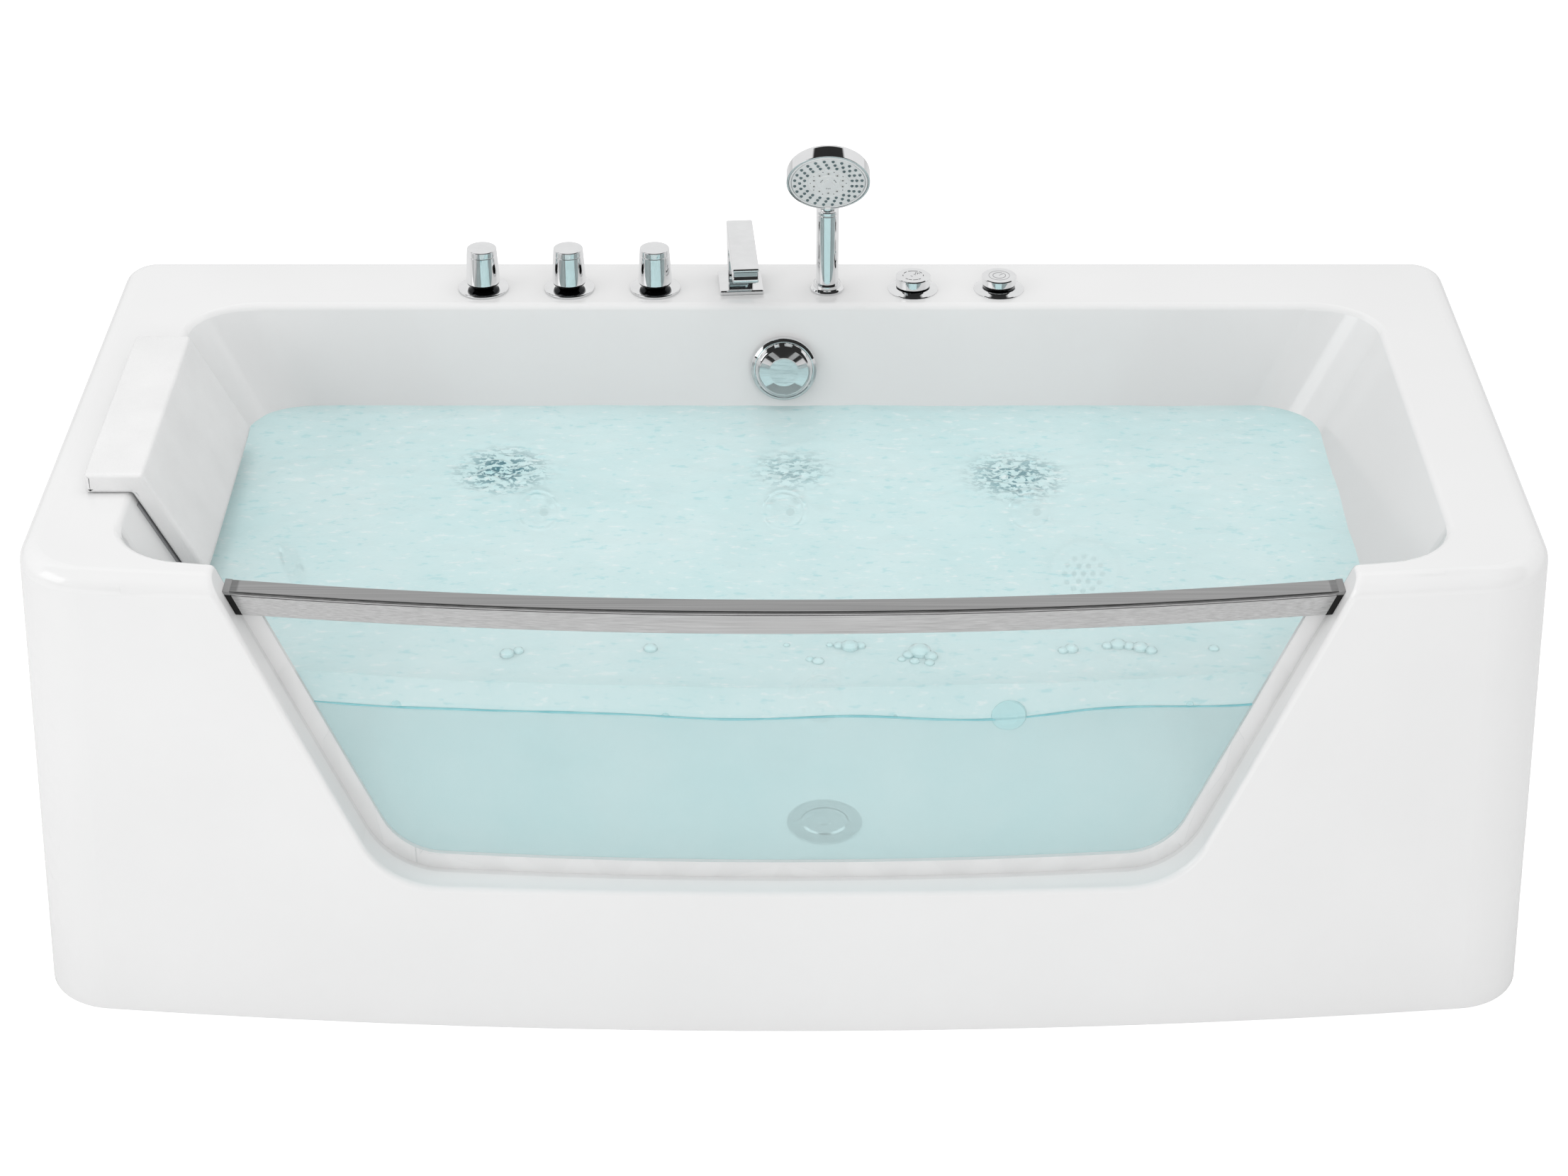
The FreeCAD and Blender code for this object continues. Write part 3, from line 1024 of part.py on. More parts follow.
air_route = [("jet_pitch + jet_radius", AIR_Y, AIR_Z), (AIR_END_X, AIR_Y, AIR_Z),
             (AIR_END_X, "headrest_centre_y - end_jet_pitch/2", AIR_Z)]
air_drop = [(AIR_X, ROW_Y, VALVE_BOTTOM), (AIR_X, ROW_Y, AIR_Z), (AIR_X, AIR_Y, AIR_Z)]
pipe("air_manifold", "air_pipe_wall", "air_pipe_bend",
     ("air_pipe_radius", air_route), ("air_drop_radius", air_drop))

# ---------------------------------------------------------------- pump
wet_end = fuse(rod("volute_radius", (PUMP_X, VOLUTE_FRONT, PUMP_Z), "volute_length", "y"),
               rod("water_pipe_radius", (PUMP_X, VOLUTE_BACK, PUMP_Z), "volute_wall", "y"),
               rod("water_pipe_radius", (PUMP_X, PUMP_OUTLET_Y, PUMP_Z), f"{OUTLET_TOP} - {PUMP_Z}"))
chamber = rod("impeller_radius + volute_wall", (PUMP_X, f"{VOLUTE_FRONT} + volute_wall", PUMP_Z),
              "volute_length - 2*volute_wall", "y")
pump_inlet = rod("water_pipe_radius - water_pipe_wall", (PUMP_X, PUMP_OUTLET_Y, PUMP_Z),
                 "volute_length", "y")
pump_outlet = rod("water_pipe_radius - water_pipe_wall", (PUMP_X, PUMP_OUTLET_Y, PUMP_Z), DECK)
shaft_way = rod("shaft_radius + shaft_clearance", (PUMP_X, f"{VOLUTE_FRONT} - motor_length", PUMP_Z),
                "motor_length + volute_length/2", "y")
sub_part("pump_housing", cut(wet_end, chamber, pump_inlet, pump_outlet, shaft_way))
MOTOR_FRONT = f"({VOLUTE_FRONT} - motor_length)"


def on_shaft(width, reach, start, low, high, count):
    """Ribs or blades that stand out from the pump's axis, evenly spread around it."""
    thin_plates = []
    for step in range(count):
        thin_plate = block((f"-{width}/2", f"{width}/2"), ("0", reach), (low, high))
        around = FreeCAD.Rotation(FreeCAD.Vector(0, 0, 1), 360/count*step)
        thin_plates.append(place(group(thin_plate), (PUMP_X, start, PUMP_Z), TURNS["y"].multiply(around)))
    return thin_plates


ribs = on_shaft("motor_rib_width", "(motor_radius + motor_rib_height)", MOTOR_FRONT,
                "motor_rib_width", "(motor_length - motor_rib_width)", int(number("motor_rib_count")))
motor = fuse(rod("motor_radius", (PUMP_X, MOTOR_FRONT, PUMP_Z), "motor_length", "y"), *ribs)
sub_part("pump_motor", cut(motor, shaft_way))
IMPELLER_BACK = f"({VOLUTE_BACK} - volute_wall - impeller_gap)"
FAN_Y = f"({MOTOR_FRONT} - impeller_gap - fan_width)"
wheel = rod("impeller_radius", (PUMP_X, f"{IMPELLER_BACK} - impeller_width", PUMP_Z), "impeller_width", "y")
impeller = fuse(wheel, rod("shaft_radius", (PUMP_X, FAN_Y, PUMP_Z), f"{IMPELLER_BACK} - {FAN_Y}", "y"))
sub_part("pump_impeller", impeller)
blades = on_shaft("fan_blade_width", "fan_radius", FAN_Y, "0", "fan_width", int(number("fan_blade_count")))
fan = fuse(rod("2*shaft_radius", (PUMP_X, FAN_Y, PUMP_Z), "fan_width", "y"), *blades)
sub_part("cooling_fan", cut(fan, rod("shaft_radius", (PUMP_X, FAN_Y, PUMP_Z), "fan_width", "y")))
COVER_Y = f"({MOTOR_FRONT} - fan_cover_length)"
cover_inside = rod("motor_radius - fan_cover_wall", (PUMP_X, f"{COVER_Y} + fan_cover_wall", PUMP_Z),
                   "fan_cover_length", "y")
cover = cut(rod("motor_radius", (PUMP_X, COVER_Y, PUMP_Z), "fan_cover_length", "y"), cover_inside)
cover_slots = []
for step in range(-4, 5):
    x = f"({PUMP_X} + {step}*4*fan_cover_wall)"
    cover_slots.append(block((f"{x} - fan_cover_wall/2", f"{x} + fan_cover_wall/2"),
                             (COVER_Y, f"{COVER_Y} + fan_cover_wall"),
                             (f"{PUMP_Z} - motor_radius/2", f"{PUMP_Z} + motor_radius/2")))
sub_part("fan_cover", cut(cover, *cover_slots))
BASE_FRONT = f"({FRAME_FRONT_Y} - tube/2)"
BASE_BACK = f"({FRAME_MIDDLE_Y} + tube/2)"
base_x = (f"{PUMP_X} - pump_base_width/2", f"{PUMP_X} + pump_base_width/2")
base_plate = block(base_x, (BASE_FRONT, BASE_BACK), (FRAME_TOP, f"{FRAME_TOP} + pump_base_height"))
saddle_x = (f"{PUMP_X} - pump_saddle_width/2", f"{PUMP_X} + pump_saddle_width/2")
half_saddle = "pump_saddle_depth/2"
saddles = [block(saddle_x, (f"{middle} - {half_saddle}", f"{middle} + {half_saddle}"), (FRAME_TOP, PUMP_Z))
           for middle in (f"{MOTOR_FRONT} + pump_saddle_inset", f"{VOLUTE_FRONT} - pump_saddle_inset")]
motor_bed = rod("motor_radius + motor_rib_height + nut_clearance", (PUMP_X, MOTOR_FRONT, PUMP_Z),
                "motor_length", "y")
sub_part("pump_base", cut(fuse(base_plate, *saddles), motor_bed))

# ---------------------------------------------------------------- control box
box_x = (f"-{FRAME_HALF} + tube", f"-{FRAME_HALF} + tube + box_width")
box_y = (f"{FRAME_MIDDLE_Y} - box_depth/2", f"{FRAME_MIDDLE_Y} + box_depth/2")
casing = block(box_x, box_y, (FRAME_TOP, f"{FRAME_TOP} + box_height"))
lid = block((f"{box_x[0]} - box_lid", f"{box_x[1]} + box_lid"), (box_y[1], f"{box_y[1]} + box_lid"),
            (FRAME_TOP, f"{FRAME_TOP} + box_height + box_lid"))
sub_part("control_box", fuse(casing, lid))

# ---------------------------------------------------------------- check and write
doc.recompute()
for thing in doc.Objects:
    if "Invalid" in thing.State or "Error" in thing.State:
        raise RuntimeError(f"{thing.Label}: {thing.State}")
for thing in sub_parts:
    if thing.Shape.isNull() or not thing.Shape.isValid():
        raise RuntimeError(f"{thing.Label}: shape is null or not valid")
os.makedirs("parts", exist_ok=True)
for thing in sub_parts:
    thing.Shape.exportStep(f"parts/{thing.Label}.step")
print(len(sub_parts), "sub-parts written")
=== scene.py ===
import math

import bmesh
import bpy
from mathutils import Matrix, Vector, noise


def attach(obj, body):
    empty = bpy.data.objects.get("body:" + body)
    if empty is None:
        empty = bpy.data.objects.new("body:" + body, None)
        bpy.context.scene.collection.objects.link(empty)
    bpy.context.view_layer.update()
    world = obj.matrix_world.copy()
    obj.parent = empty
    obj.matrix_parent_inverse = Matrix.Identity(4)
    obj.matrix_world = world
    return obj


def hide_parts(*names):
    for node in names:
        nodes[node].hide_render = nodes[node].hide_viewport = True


# The looks of a jetted bathtub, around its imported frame. All lengths are in metres.
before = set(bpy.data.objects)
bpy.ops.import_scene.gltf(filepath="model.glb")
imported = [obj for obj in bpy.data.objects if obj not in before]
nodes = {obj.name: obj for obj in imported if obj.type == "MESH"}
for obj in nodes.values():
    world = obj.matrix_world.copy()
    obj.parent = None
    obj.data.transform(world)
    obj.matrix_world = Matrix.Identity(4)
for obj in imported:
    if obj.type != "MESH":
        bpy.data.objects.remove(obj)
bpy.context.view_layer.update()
scene = bpy.context.scene
PHOTO_WIDTH = 2212
MM = 0.001
FULL_TURN = 2*math.pi
TINY = 1e-6

# ---------------------------------------------------------------- camera
FOCAL_PIXELS = 4515.6
CAMERA_AT = (0, -3.244, 2.327)
CAMERA_PITCH = 31.558
camera_data = bpy.data.cameras.new("camera")
camera_data.sensor_width = 36
camera_data.lens = FOCAL_PIXELS/PHOTO_WIDTH*camera_data.sensor_width
camera = bpy.data.objects.new("camera", camera_data)
camera.location = CAMERA_AT
camera.rotation_euler = (math.radians(90 - CAMERA_PITCH), 0, 0)
scene.collection.objects.link(camera)
scene.camera = camera


# ---------------------------------------------------------------- material helpers
def material(name, **settings):
    """A Principled material; the settings are names of its sockets and their constant values."""
    made = bpy.data.materials.new(name)
    made.use_nodes = True
    shader = made.node_tree.nodes["Principled BSDF"]
    for socket, value in settings.items():
        shader.inputs[socket.replace("_", " ")].default_value = value
    return made, made.node_tree, shader


def texture_place(tree, scale=(1, 1, 1)):
    """Object coordinates, stretched."""
    coordinates = tree.nodes.new("ShaderNodeTexCoord")
    mapping = tree.nodes.new("ShaderNodeMapping")
    mapping.inputs["Scale"].default_value = scale
    tree.links.new(coordinates.outputs["Object"], mapping.inputs["Vector"])
    return mapping.outputs["Vector"]


def noise_of(tree, place, scale, detail=3.0, roughness=0.5):
    """Noise from 0 to 1 at a place."""
    made = tree.nodes.new("ShaderNodeTexNoise")
    made.inputs["Scale"].default_value = scale
    made.inputs["Detail"].default_value = detail
    made.inputs["Roughness"].default_value = roughness
    tree.links.new(place, made.inputs["Vector"])
    return made.outputs["Fac"]


def ramp(tree, factor, stops):
    """A colour ramp: (position, colour or grey) pairs."""
    made = tree.nodes.new("ShaderNodeValToRGB")
    while len(made.color_ramp.elements) < len(stops):
        made.color_ramp.elements.new(0.5)
    for element, (position, colour) in zip(made.color_ramp.elements, stops):
        element.position = position
        element.color = (colour, colour, colour, 1) if isinstance(colour, (int, float)) else (*colour, 1)
    tree.links.new(factor, made.inputs["Fac"])
    return made.outputs["Color"]


def spread(tree, factor, low, high):
    """A factor from 0 to 1 spread to another range."""
    made = tree.nodes.new("ShaderNodeMapRange")
    made.inputs["To Min"].default_value = low
    made.inputs["To Max"].default_value = high
    tree.links.new(factor, made.inputs["Value"])
    return made.outputs["Result"]


def bump(tree, shader, height, strength, distance):
    """Relief from a height: its strength, and its depth in metres."""
    made = tree.nodes.new("ShaderNodeBump")
    made.inputs["Strength"].default_value = strength
    made.inputs["Distance"].default_value = distance
    tree.links.new(height, made.inputs["Height"])
    tree.links.new(made.outputs["Normal"], shader.inputs["Normal"])


def tinted(tree, shader, factor, dark, light):
    """The base colour between two shades by a factor."""
    tree.links.new(ramp(tree, factor, ((0.3, dark), (0.7, light))), shader.inputs["Base Color"])


def plain(name, dark, light, roughness, scale=40, grain=0.0, **settings):
    """A finish with a slight mottle in its colour and roughness."""
    made, tree, shader = material(name, **settings)
    place = texture_place(tree)
    cloud = noise_of(tree, place, scale)
    tinted(tree, shader, cloud, dark, light)
    tree.links.new(spread(tree, cloud, roughness*0.9, roughness*1.15), shader.inputs["Roughness"])
    if grain:
        bump(tree, shader, noise_of(tree, place, scale*25, 2), 0.2, grain)
    return made


def between(tree, factor, first, second):
    """Two colours, or two sockets of them, mixed by a factor."""
    made = tree.nodes.new("ShaderNodeMix")
    made.data_type = "RGBA"
    if isinstance(factor, (int, float)):
        made.inputs[0].default_value = factor
    else:
        tree.links.new(factor, made.inputs[0])
    for socket, source in ((made.inputs[6], first), (made.inputs[7], second)):
        if isinstance(source, tuple):
            socket.default_value = (*source, 1)
        else:
            tree.links.new(source, socket)
    return made.outputs[2]


# The painted shade on the rail's top: how much it keeps of the dark and of the light shade, and the height of
# its edge.
SHADED_TOP_DARK = 0.62
SHADED_TOP_LIGHT = 0.72
SHADE_EDGE = 0.0006


def brushed(name, dark, light, along, roughness, shaded_above):
    """Metal with fine scratches along one axis, painted darker above a height in metres as shade on its top.
    """
    made, tree, shader = material(name, Metallic=1.0)
    stretch = tuple(4 if axis == along else 900 for axis in "xyz")
    scratches = noise_of(tree, texture_place(tree, stretch), 1.0, 4, 0.6)
    height = tree.nodes.new("ShaderNodeSeparateXYZ")
    tree.links.new(texture_place(tree), height.inputs[0])
    top = tree.nodes.new("ShaderNodeMapRange")
    top.inputs["From Min"].default_value = shaded_above
    top.inputs["From Max"].default_value = shaded_above + SHADE_EDGE
    tree.links.new(height.outputs["Z"], top.inputs["Value"])
    bright = ramp(tree, scratches, ((0.3, dark), (0.7, light)))
    # Above the height the colour is painted darker, as shade on the rail's top.
    painted_shade = ramp(tree, scratches, ((0.3, tuple(part*SHADED_TOP_DARK for part in dark)),
                                  (0.7, tuple(part*SHADED_TOP_LIGHT for part in light))))
    tree.links.new(between(tree, top.outputs["Result"], bright, painted_shade), shader.inputs["Base Color"])
    tree.links.new(spread(tree, scratches, roughness*0.7, roughness*1.3), shader.inputs["Roughness"])
    bump(tree, shader, scratches, 0.15, 0.0002)
    return made


def mirror(name, colour, roughness):
    """Chrome plating with faint waves and a breath of haze."""
    made, tree, shader = material(name, Metallic=1.0)
    place = texture_place(tree)
    haze = noise_of(tree, place, 60, 4)
    tinted(tree, shader, haze, tuple(part*0.95 for part in colour), colour)
    tree.links.new(spread(tree, haze, roughness*0.6, roughness*1.6), shader.inputs["Roughness"])
    bump(tree, shader, noise_of(tree, place, 25, 1), 0.02, 0.001)
    return made


# ---------------------------------------------------------------- materials
def acrylic():
    """Glossy white sanitary acrylic."""
    made, tree, shader = material("acrylic", Coat_Weight=0.3, Coat_Roughness=0.03, IOR=1.49)
    place = texture_place(tree)
    cloud = noise_of(tree, place, 3, 4)
    tinted(tree, shader, cloud, (0.80, 0.80, 0.80), (0.83, 0.83, 0.83))
    tree.links.new(spread(tree, noise_of(tree, place, 30, 3), 0.13, 0.2), shader.inputs["Roughness"])
    bump(tree, shader, noise_of(tree, place, 9, 2), 0.02, 0.002)
    return made


ACRYLIC = acrylic()
CHROME = mirror("chrome", (0.87, 0.875, 0.88), 0.035)
SATIN_CHROME = mirror("satin_chrome", (0.78, 0.785, 0.79), 0.14)
# Chrome painted nearly black, as a painted dark reflection under the knobs and around the control necks.
CHROME_PAINTED_DARK = mirror("chrome_painted_dark", (0.035, 0.036, 0.038), 0.05)
# The rail's top face is painted darker above this height, as painted shade.
RAIL_SHADED_ABOVE = 0.5442
RAIL_STEEL = brushed("rail_steel", (0.46, 0.46, 0.46), (0.66, 0.66, 0.66), "x", 0.34, RAIL_SHADED_ABOVE)
CAP_GREY = plain("cap_grey", (0.22, 0.22, 0.22), (0.26, 0.26, 0.26), 0.4)
RUBBER = plain("rubber", (0.008, 0.008, 0.008), (0.014, 0.014, 0.014), 0.5, grain=0.0002,
               Specular_IOR_Level=0.2)
SPRAY_GREY = plain("spray_grey", (0.80, 0.80, 0.80), (0.85, 0.85, 0.85), 0.32)
BACKING = plain("backing_grey", (0.25, 0.25, 0.26), (0.30, 0.30, 0.31), 0.5)
BOARD = plain("board", (0.36, 0.24, 0.13), (0.46, 0.33, 0.19), 0.75, 12, 0.0006)
ZINC = plain("zinc", (0.42, 0.43, 0.44), (0.55, 0.56, 0.57), 0.35, 25, Metallic=1.0)
BRASS = plain("brass", (0.62, 0.45, 0.18), (0.74, 0.56, 0.26), 0.28, 50, Metallic=1.0)
COPPER = plain("copper", (0.72, 0.37, 0.24), (0.84, 0.47, 0.33), 0.25, 30, Metallic=1.0)
GREY_PLASTIC = plain("grey_plastic", (0.16, 0.165, 0.17), (0.20, 0.205, 0.21), 0.42, grain=0.0002)
WHITE_PIPE = plain("white_pipe", (0.70, 0.70, 0.69), (0.78, 0.78, 0.77), 0.35, grain=0.0001)
AIR_PIPE = plain("air_pipe", (0.56, 0.60, 0.62), (0.64, 0.68, 0.70), 0.25)
BLACK_PLASTIC = plain("black_plastic", (0.018, 0.018, 0.02), (0.03, 0.03, 0.033), 0.4, grain=0.0002)
MOTOR_PAINT = plain("motor_paint", (0.05, 0.055, 0.06), (0.07, 0.075, 0.08), 0.38, grain=0.0003)
BOX_GREY = plain("box_grey", (0.34, 0.35, 0.36), (0.40, 0.41, 0.42), 0.45, grain=0.0003)
SHAFT_STEEL = plain("shaft_steel", (0.4, 0.4, 0.4), (0.5, 0.5, 0.5), 0.3, Metallic=0.9)


def glass():
    """Clear safety glass with a faint green tint."""
    made, tree, shader = material("window_glass", Transmission_Weight=1.0, IOR=1.5, Alpha=0.06)
    place = texture_place(tree)
    tinted(tree, shader, noise_of(tree, place, 5), (0.90, 0.96, 0.95), (0.93, 0.97, 0.965))
    tree.links.new(spread(tree, noise_of(tree, place, 40), 0.0, 0.02), shader.inputs["Roughness"])
    return made


def cushion_skin():
    """White moulded foam skin with a fine pebbled grain."""
    made, tree, shader = material("cushion_skin", Specular_IOR_Level=0.35)
    place = texture_place(tree)
    tinted(tree, shader, noise_of(tree, place, 14, 4), (0.79, 0.79, 0.79), (0.84, 0.84, 0.84))
    tree.links.new(spread(tree, noise_of(tree, place, 90, 2), 0.42, 0.58), shader.inputs["Roughness"])
    grain = noise_of(tree, place, 420, 3, 0.6)
    bump(tree, shader, grain, 0.35, 0.0012)
    return made


# Height of the water in millimetres.
WATER_TOP = 438
# Its rough patches near the jets, whose colour also gets painted dark reflections: place in metres, size in
# metres, and strength.
PATCHES = ((-0.338, 0.100, 0.052, 1.0), (0.009, 0.100, 0.045, 0.5), (0.276, 0.086, 0.055, 0.8))


def rough_patches(tree, place):
    """How choppy the water is at a place, which sets the share of its painted dark reflections: a patch's
    strength at its middle, and 0 away from them all.
    """
    rough = None
    for x, y, size, strength in PATCHES:
        away = tree.nodes.new("ShaderNodeVectorMath")
        away.operation = "DISTANCE"
        away.inputs[1].default_value = (x, y, WATER_TOP*MM)
        tree.links.new(place, away.inputs[0])
        near = tree.nodes.new("ShaderNodeMapRange")
        near.inputs["From Min"].default_value = size*1.25
        near.inputs["From Max"].default_value = size*0.35
        near.inputs["To Max"].default_value = strength
        tree.links.new(away.outputs["Value"], near.inputs["Value"])
        if rough is None:
            rough = near.outputs["Result"]
            continue
        most = tree.nodes.new("ShaderNodeMath")
        most.operation = "MAXIMUM"
        tree.links.new(rough, most.inputs[0])
        tree.links.new(near.outputs["Result"], most.inputs[1])
        rough = most.outputs[0]
    return rough


def water_look(name, milkiness, tint, painted_ripple_light):
    """Pale turquoise bath water: part see-through, part its own colour; if asked, its colour also gets
    painted highlights of ripples with flecks of foam, painted shade of ripples, and painted dark reflections
    near the jets.
    """
    made = bpy.data.materials.new(name)
    made.use_nodes = True
    tree = made.node_tree
    tree.nodes.clear()
    place = texture_place(tree)
    rays = tree.nodes.new("ShaderNodeLightPath")
    clear = tree.nodes.new("ShaderNodeBsdfTransparent")
    clear.inputs["Color"].default_value = (*tint, 1)
    milk = tree.nodes.new("ShaderNodeBsdfDiffuse")
    cloud = noise_of(tree, place, 7, 5, 0.6)
    colour = ramp(tree, cloud, ((0.3, (0.66, 0.90, 0.91)), (0.7, (0.76, 0.945, 0.95))))
    if painted_ripple_light:
        ripple_light_lines = noise_of(tree, texture_place(tree, (55, 120, 120)), 1.0, 3, 0.55)
        fine = noise_of(tree, texture_place(tree, (110, 170, 170)), 1.0, 4, 0.6)
        # Lighter streaks: painted highlights of ripples, with flecks of foam.
        colour = between(tree, ramp(tree, ripple_light_lines, ((0.60, 0.0), (0.70, 0.7))), colour, (0.90, 1.0, 1.0))
        # Darker streaks: painted shade of ripples.
        colour = between(tree, ramp(tree, ripple_light_lines, ((0.30, 0.7), (0.40, 0.0))), colour, (0.50, 0.82, 0.85))
        # Near the jets the colour darkens, as painted dark reflections on the choppy water.
        rough = rough_patches(tree, place)
        dark = tree.nodes.new("ShaderNodeMath")
        dark.operation = "MULTIPLY"
        tree.links.new(rough, dark.inputs[0])
        tree.links.new(ramp(tree, fine, ((0.49, 0.0), (0.56, 1.0))), dark.inputs[1])
        colour = between(tree, dark.outputs[0], colour, (0.005, 0.15, 0.20))
    tree.links.new(colour, milk.inputs["Color"])
    share = tree.nodes.new("ShaderNodeMath")
    share.operation = "MULTIPLY"
    share.inputs[1].default_value = milkiness
    tree.links.new(rays.outputs["Is Camera Ray"], share.inputs[0])
    body = tree.nodes.new("ShaderNodeMixShader")
    tree.links.new(share.outputs[0], body.inputs["Fac"])
    tree.links.new(clear.outputs[0], body.inputs[1])
    tree.links.new(milk.outputs[0], body.inputs[2])
    waves = tree.nodes.new("ShaderNodeBump")
    waves.inputs["Strength"].default_value = 0.35
    waves.inputs["Distance"].default_value = 0.004
    tree.links.new(noise_of(tree, place, 38, 6, 0.62), waves.inputs["Height"])
    shine = tree.nodes.new("ShaderNodeBsdfGlossy")
    shine.inputs["Roughness"].default_value = 0.03
    tree.links.new(waves.outputs["Normal"], shine.inputs["Normal"])
    edge = tree.nodes.new("ShaderNodeFresnel")
    edge.inputs["IOR"].default_value = 1.33
    tree.links.new(waves.outputs["Normal"], edge.inputs["Normal"])
    whole = tree.nodes.new("ShaderNodeMixShader")
    tree.links.new(edge.outputs[0], whole.inputs["Fac"])
    tree.links.new(body.outputs[0], whole.inputs[1])
    tree.links.new(shine.outputs[0], whole.inputs[2])
    out = tree.nodes.new("ShaderNodeOutputMaterial")
    tree.links.new(whole.outputs[0], out.inputs["Surface"])
    return made


GLASS = glass()
CUSHION = cushion_skin()
# The surface's colour carries the painted ripple light and shade; the front's does not.
WATER = water_look("water_surface", 0.72, (0.90, 0.985, 0.99), True)
WATER_FRONT = water_look("water_front", 0.45, (0.80, 0.985, 1.0), False)
# The water's edge on the glass is painted a darker teal: painted shade of the meniscus.
WATER_EDGE_SHADE = plain("water_edge_shade", (0.22, 0.58, 0.63), (0.34, 0.70, 0.74), 0.15)
NOZZLE_RUBBER = plain("nozzle_rubber", (0.09, 0.14, 0.15), (0.14, 0.20, 0.21), 0.4)

FINISHES = {
    "tub_shell": ACRYLIC, "skirt": ACRYLIC, "base_board": BOARD, "support_frame": ZINC,
    "levelling_feet": ZINC, "foot_lock_nuts": ZINC, "window_glass": GLASS, "top_rail": RAIL_STEEL,
    "rail_end_caps": CAP_GREY, "rail_end_seals": RUBBER, "headrest_backing": BACKING,
    "hot_valve_body": BRASS, "cold_valve_body": BRASS, "diverter_body": BRASS, "deck_lock_nuts": BRASS,
    "mixing_pipe": COPPER, "spout_pipe": COPPER, "spray_face": SPRAY_GREY,
    "air_valve_body": GREY_PLASTIC, "button_bellows": RUBBER, "overflow_body": GREY_PLASTIC,
    "waste_trap": WHITE_PIPE, "overflow_pipe": WHITE_PIPE, "waste_outlet": WHITE_PIPE,
    "jet_bodies": WHITE_PIPE, "suction_fitting": WHITE_PIPE, "suction_pipe": WHITE_PIPE,
    "water_manifold": WHITE_PIPE, "air_manifold": AIR_PIPE, "pump_housing": BLACK_PLASTIC,
    "pump_motor": MOTOR_PAINT, "pump_impeller": SHAFT_STEEL, "cooling_fan": BLACK_PLASTIC,
    "fan_cover": BLACK_PLASTIC, "pump_base": BLACK_PLASTIC, "control_box": BOX_GREY,
}
for name, node in nodes.items():
    finish = FINISHES.get(name, CHROME)
    node.data.materials.clear()
    node.data.materials.append(finish)


# ---------------------------------------------------------------- mesh helpers
def rounded_line(points, closed=False, steps=5):
    """Points of a line whose corners are rounded; a corner's third number is its radius."""
    line = []
    for index, point in enumerate(points):
        corner = Vector(point[:2])
        radius = point[2] if len(point) > 2 else 0
        if not radius or not (closed or 0 < index < len(points) - 1):
            line.append(corner)
            continue
        before = Vector(points[index - 1][:2]) - corner
        after = Vector(points[(index + 1) % len(points)][:2]) - corner
        reach = min(radius/math.tan(before.angle(after)/2), before.length*0.49, after.length*0.49)
        start = corner + before.normalized()*reach
        end = corner + after.normalized()*reach
        for step in range(steps + 1):
            part = step/steps
            line.append(start*(1 - part)**2 + corner*2*part*(1 - part) + end*part**2)
    return line


def turned(points, around=96):
    """A form turned about Z from (radius, height) points in millimetres."""
    made = bmesh.new()
    rings = []
    for radius, height in rounded_line(points):
        if radius < TINY:
            rings.append([made.verts.new((0, 0, height*MM))])
            continue
        ring = []
        for step in range(around):
            angle = FULL_TURN*step/around
            ring.append(made.verts.new((radius*math.cos(angle)*MM, radius*math.sin(angle)*MM, height*MM)))
        rings.append(ring)
    for lower, upper in zip(rings, rings[1:]):
        for index in range(around):
            after = (index + 1) % around
            face = [lower[index % len(lower)], lower[after % len(lower)],
                    upper[after % len(upper)], upper[index % len(upper)]]
            face = list(dict.fromkeys(face))
            if len(face) > 2:
                made.faces.new(face)
    bmesh.ops.recalc_face_normals(made, faces=made.faces)
    return made


def slab(low, high, radius, steps=4):
    """A box between two corners in millimetres, with rounded edges."""
    made = bmesh.new()
    bmesh.ops.create_cube(made, size=1)
    low = Vector(low)*MM
    high = Vector(high)*MM
    for vertex in made.verts:
        for axis in range(3):
            vertex.co[axis] = (low[axis] + high[axis])/2 + vertex.co[axis]*(high[axis] - low[axis])
    bmesh.ops.bevel(made, geom=made.edges[:], offset=radius*MM, segments=steps, profile=0.5,
                    affect="EDGES", clamp_overlap=True)
    return made


def pressed(outline, thickness, radius, steps=4):
    """A rounded outline in the plane of X and Y, thick along Z, with rounded edges."""
    made = bmesh.new()
    face = made.faces.new([made.verts.new((x*MM, y*MM, 0)) for x, y in outline])
    if face.normal.z > 0:
        face.normal_flip()
    grown = bmesh.ops.extrude_face_region(made, geom=[face])
    raised = [part for part in grown["geom"] if isinstance(part, bmesh.types.BMVert)]
    bmesh.ops.translate(made, verts=raised, vec=(0, 0, thickness*MM))
    bmesh.ops.recalc_face_normals(made, faces=made.faces)
    if radius:
        ends = [edge for edge in made.edges
                if abs(edge.verts[0].co.z - edge.verts[1].co.z) < TINY*MM]
        bmesh.ops.bevel(made, geom=ends, offset=radius*MM, segments=steps, profile=0.5,
                        affect="EDGES", clamp_overlap=True)
    return made


def moved(form, at=(0, 0, 0), turn=Matrix.Identity(4)):
    """A form turned and set down at a place in millimetres."""
    form.transform(Matrix.Translation(Vector(at)*MM) @ turn)
    return form


def together(name, forms):
    """One mesh of several forms, shaded smooth."""
    whole = bmesh.new()
    for form in forms:
        part = bpy.data.meshes.new("part")
        form.to_mesh(part)
        form.free()
        whole.from_mesh(part)
        bpy.data.meshes.remove(part)
    mesh = bpy.data.meshes.new(name)
    whole.to_mesh(mesh)
    whole.free()
    mesh.shade_smooth()
    return mesh


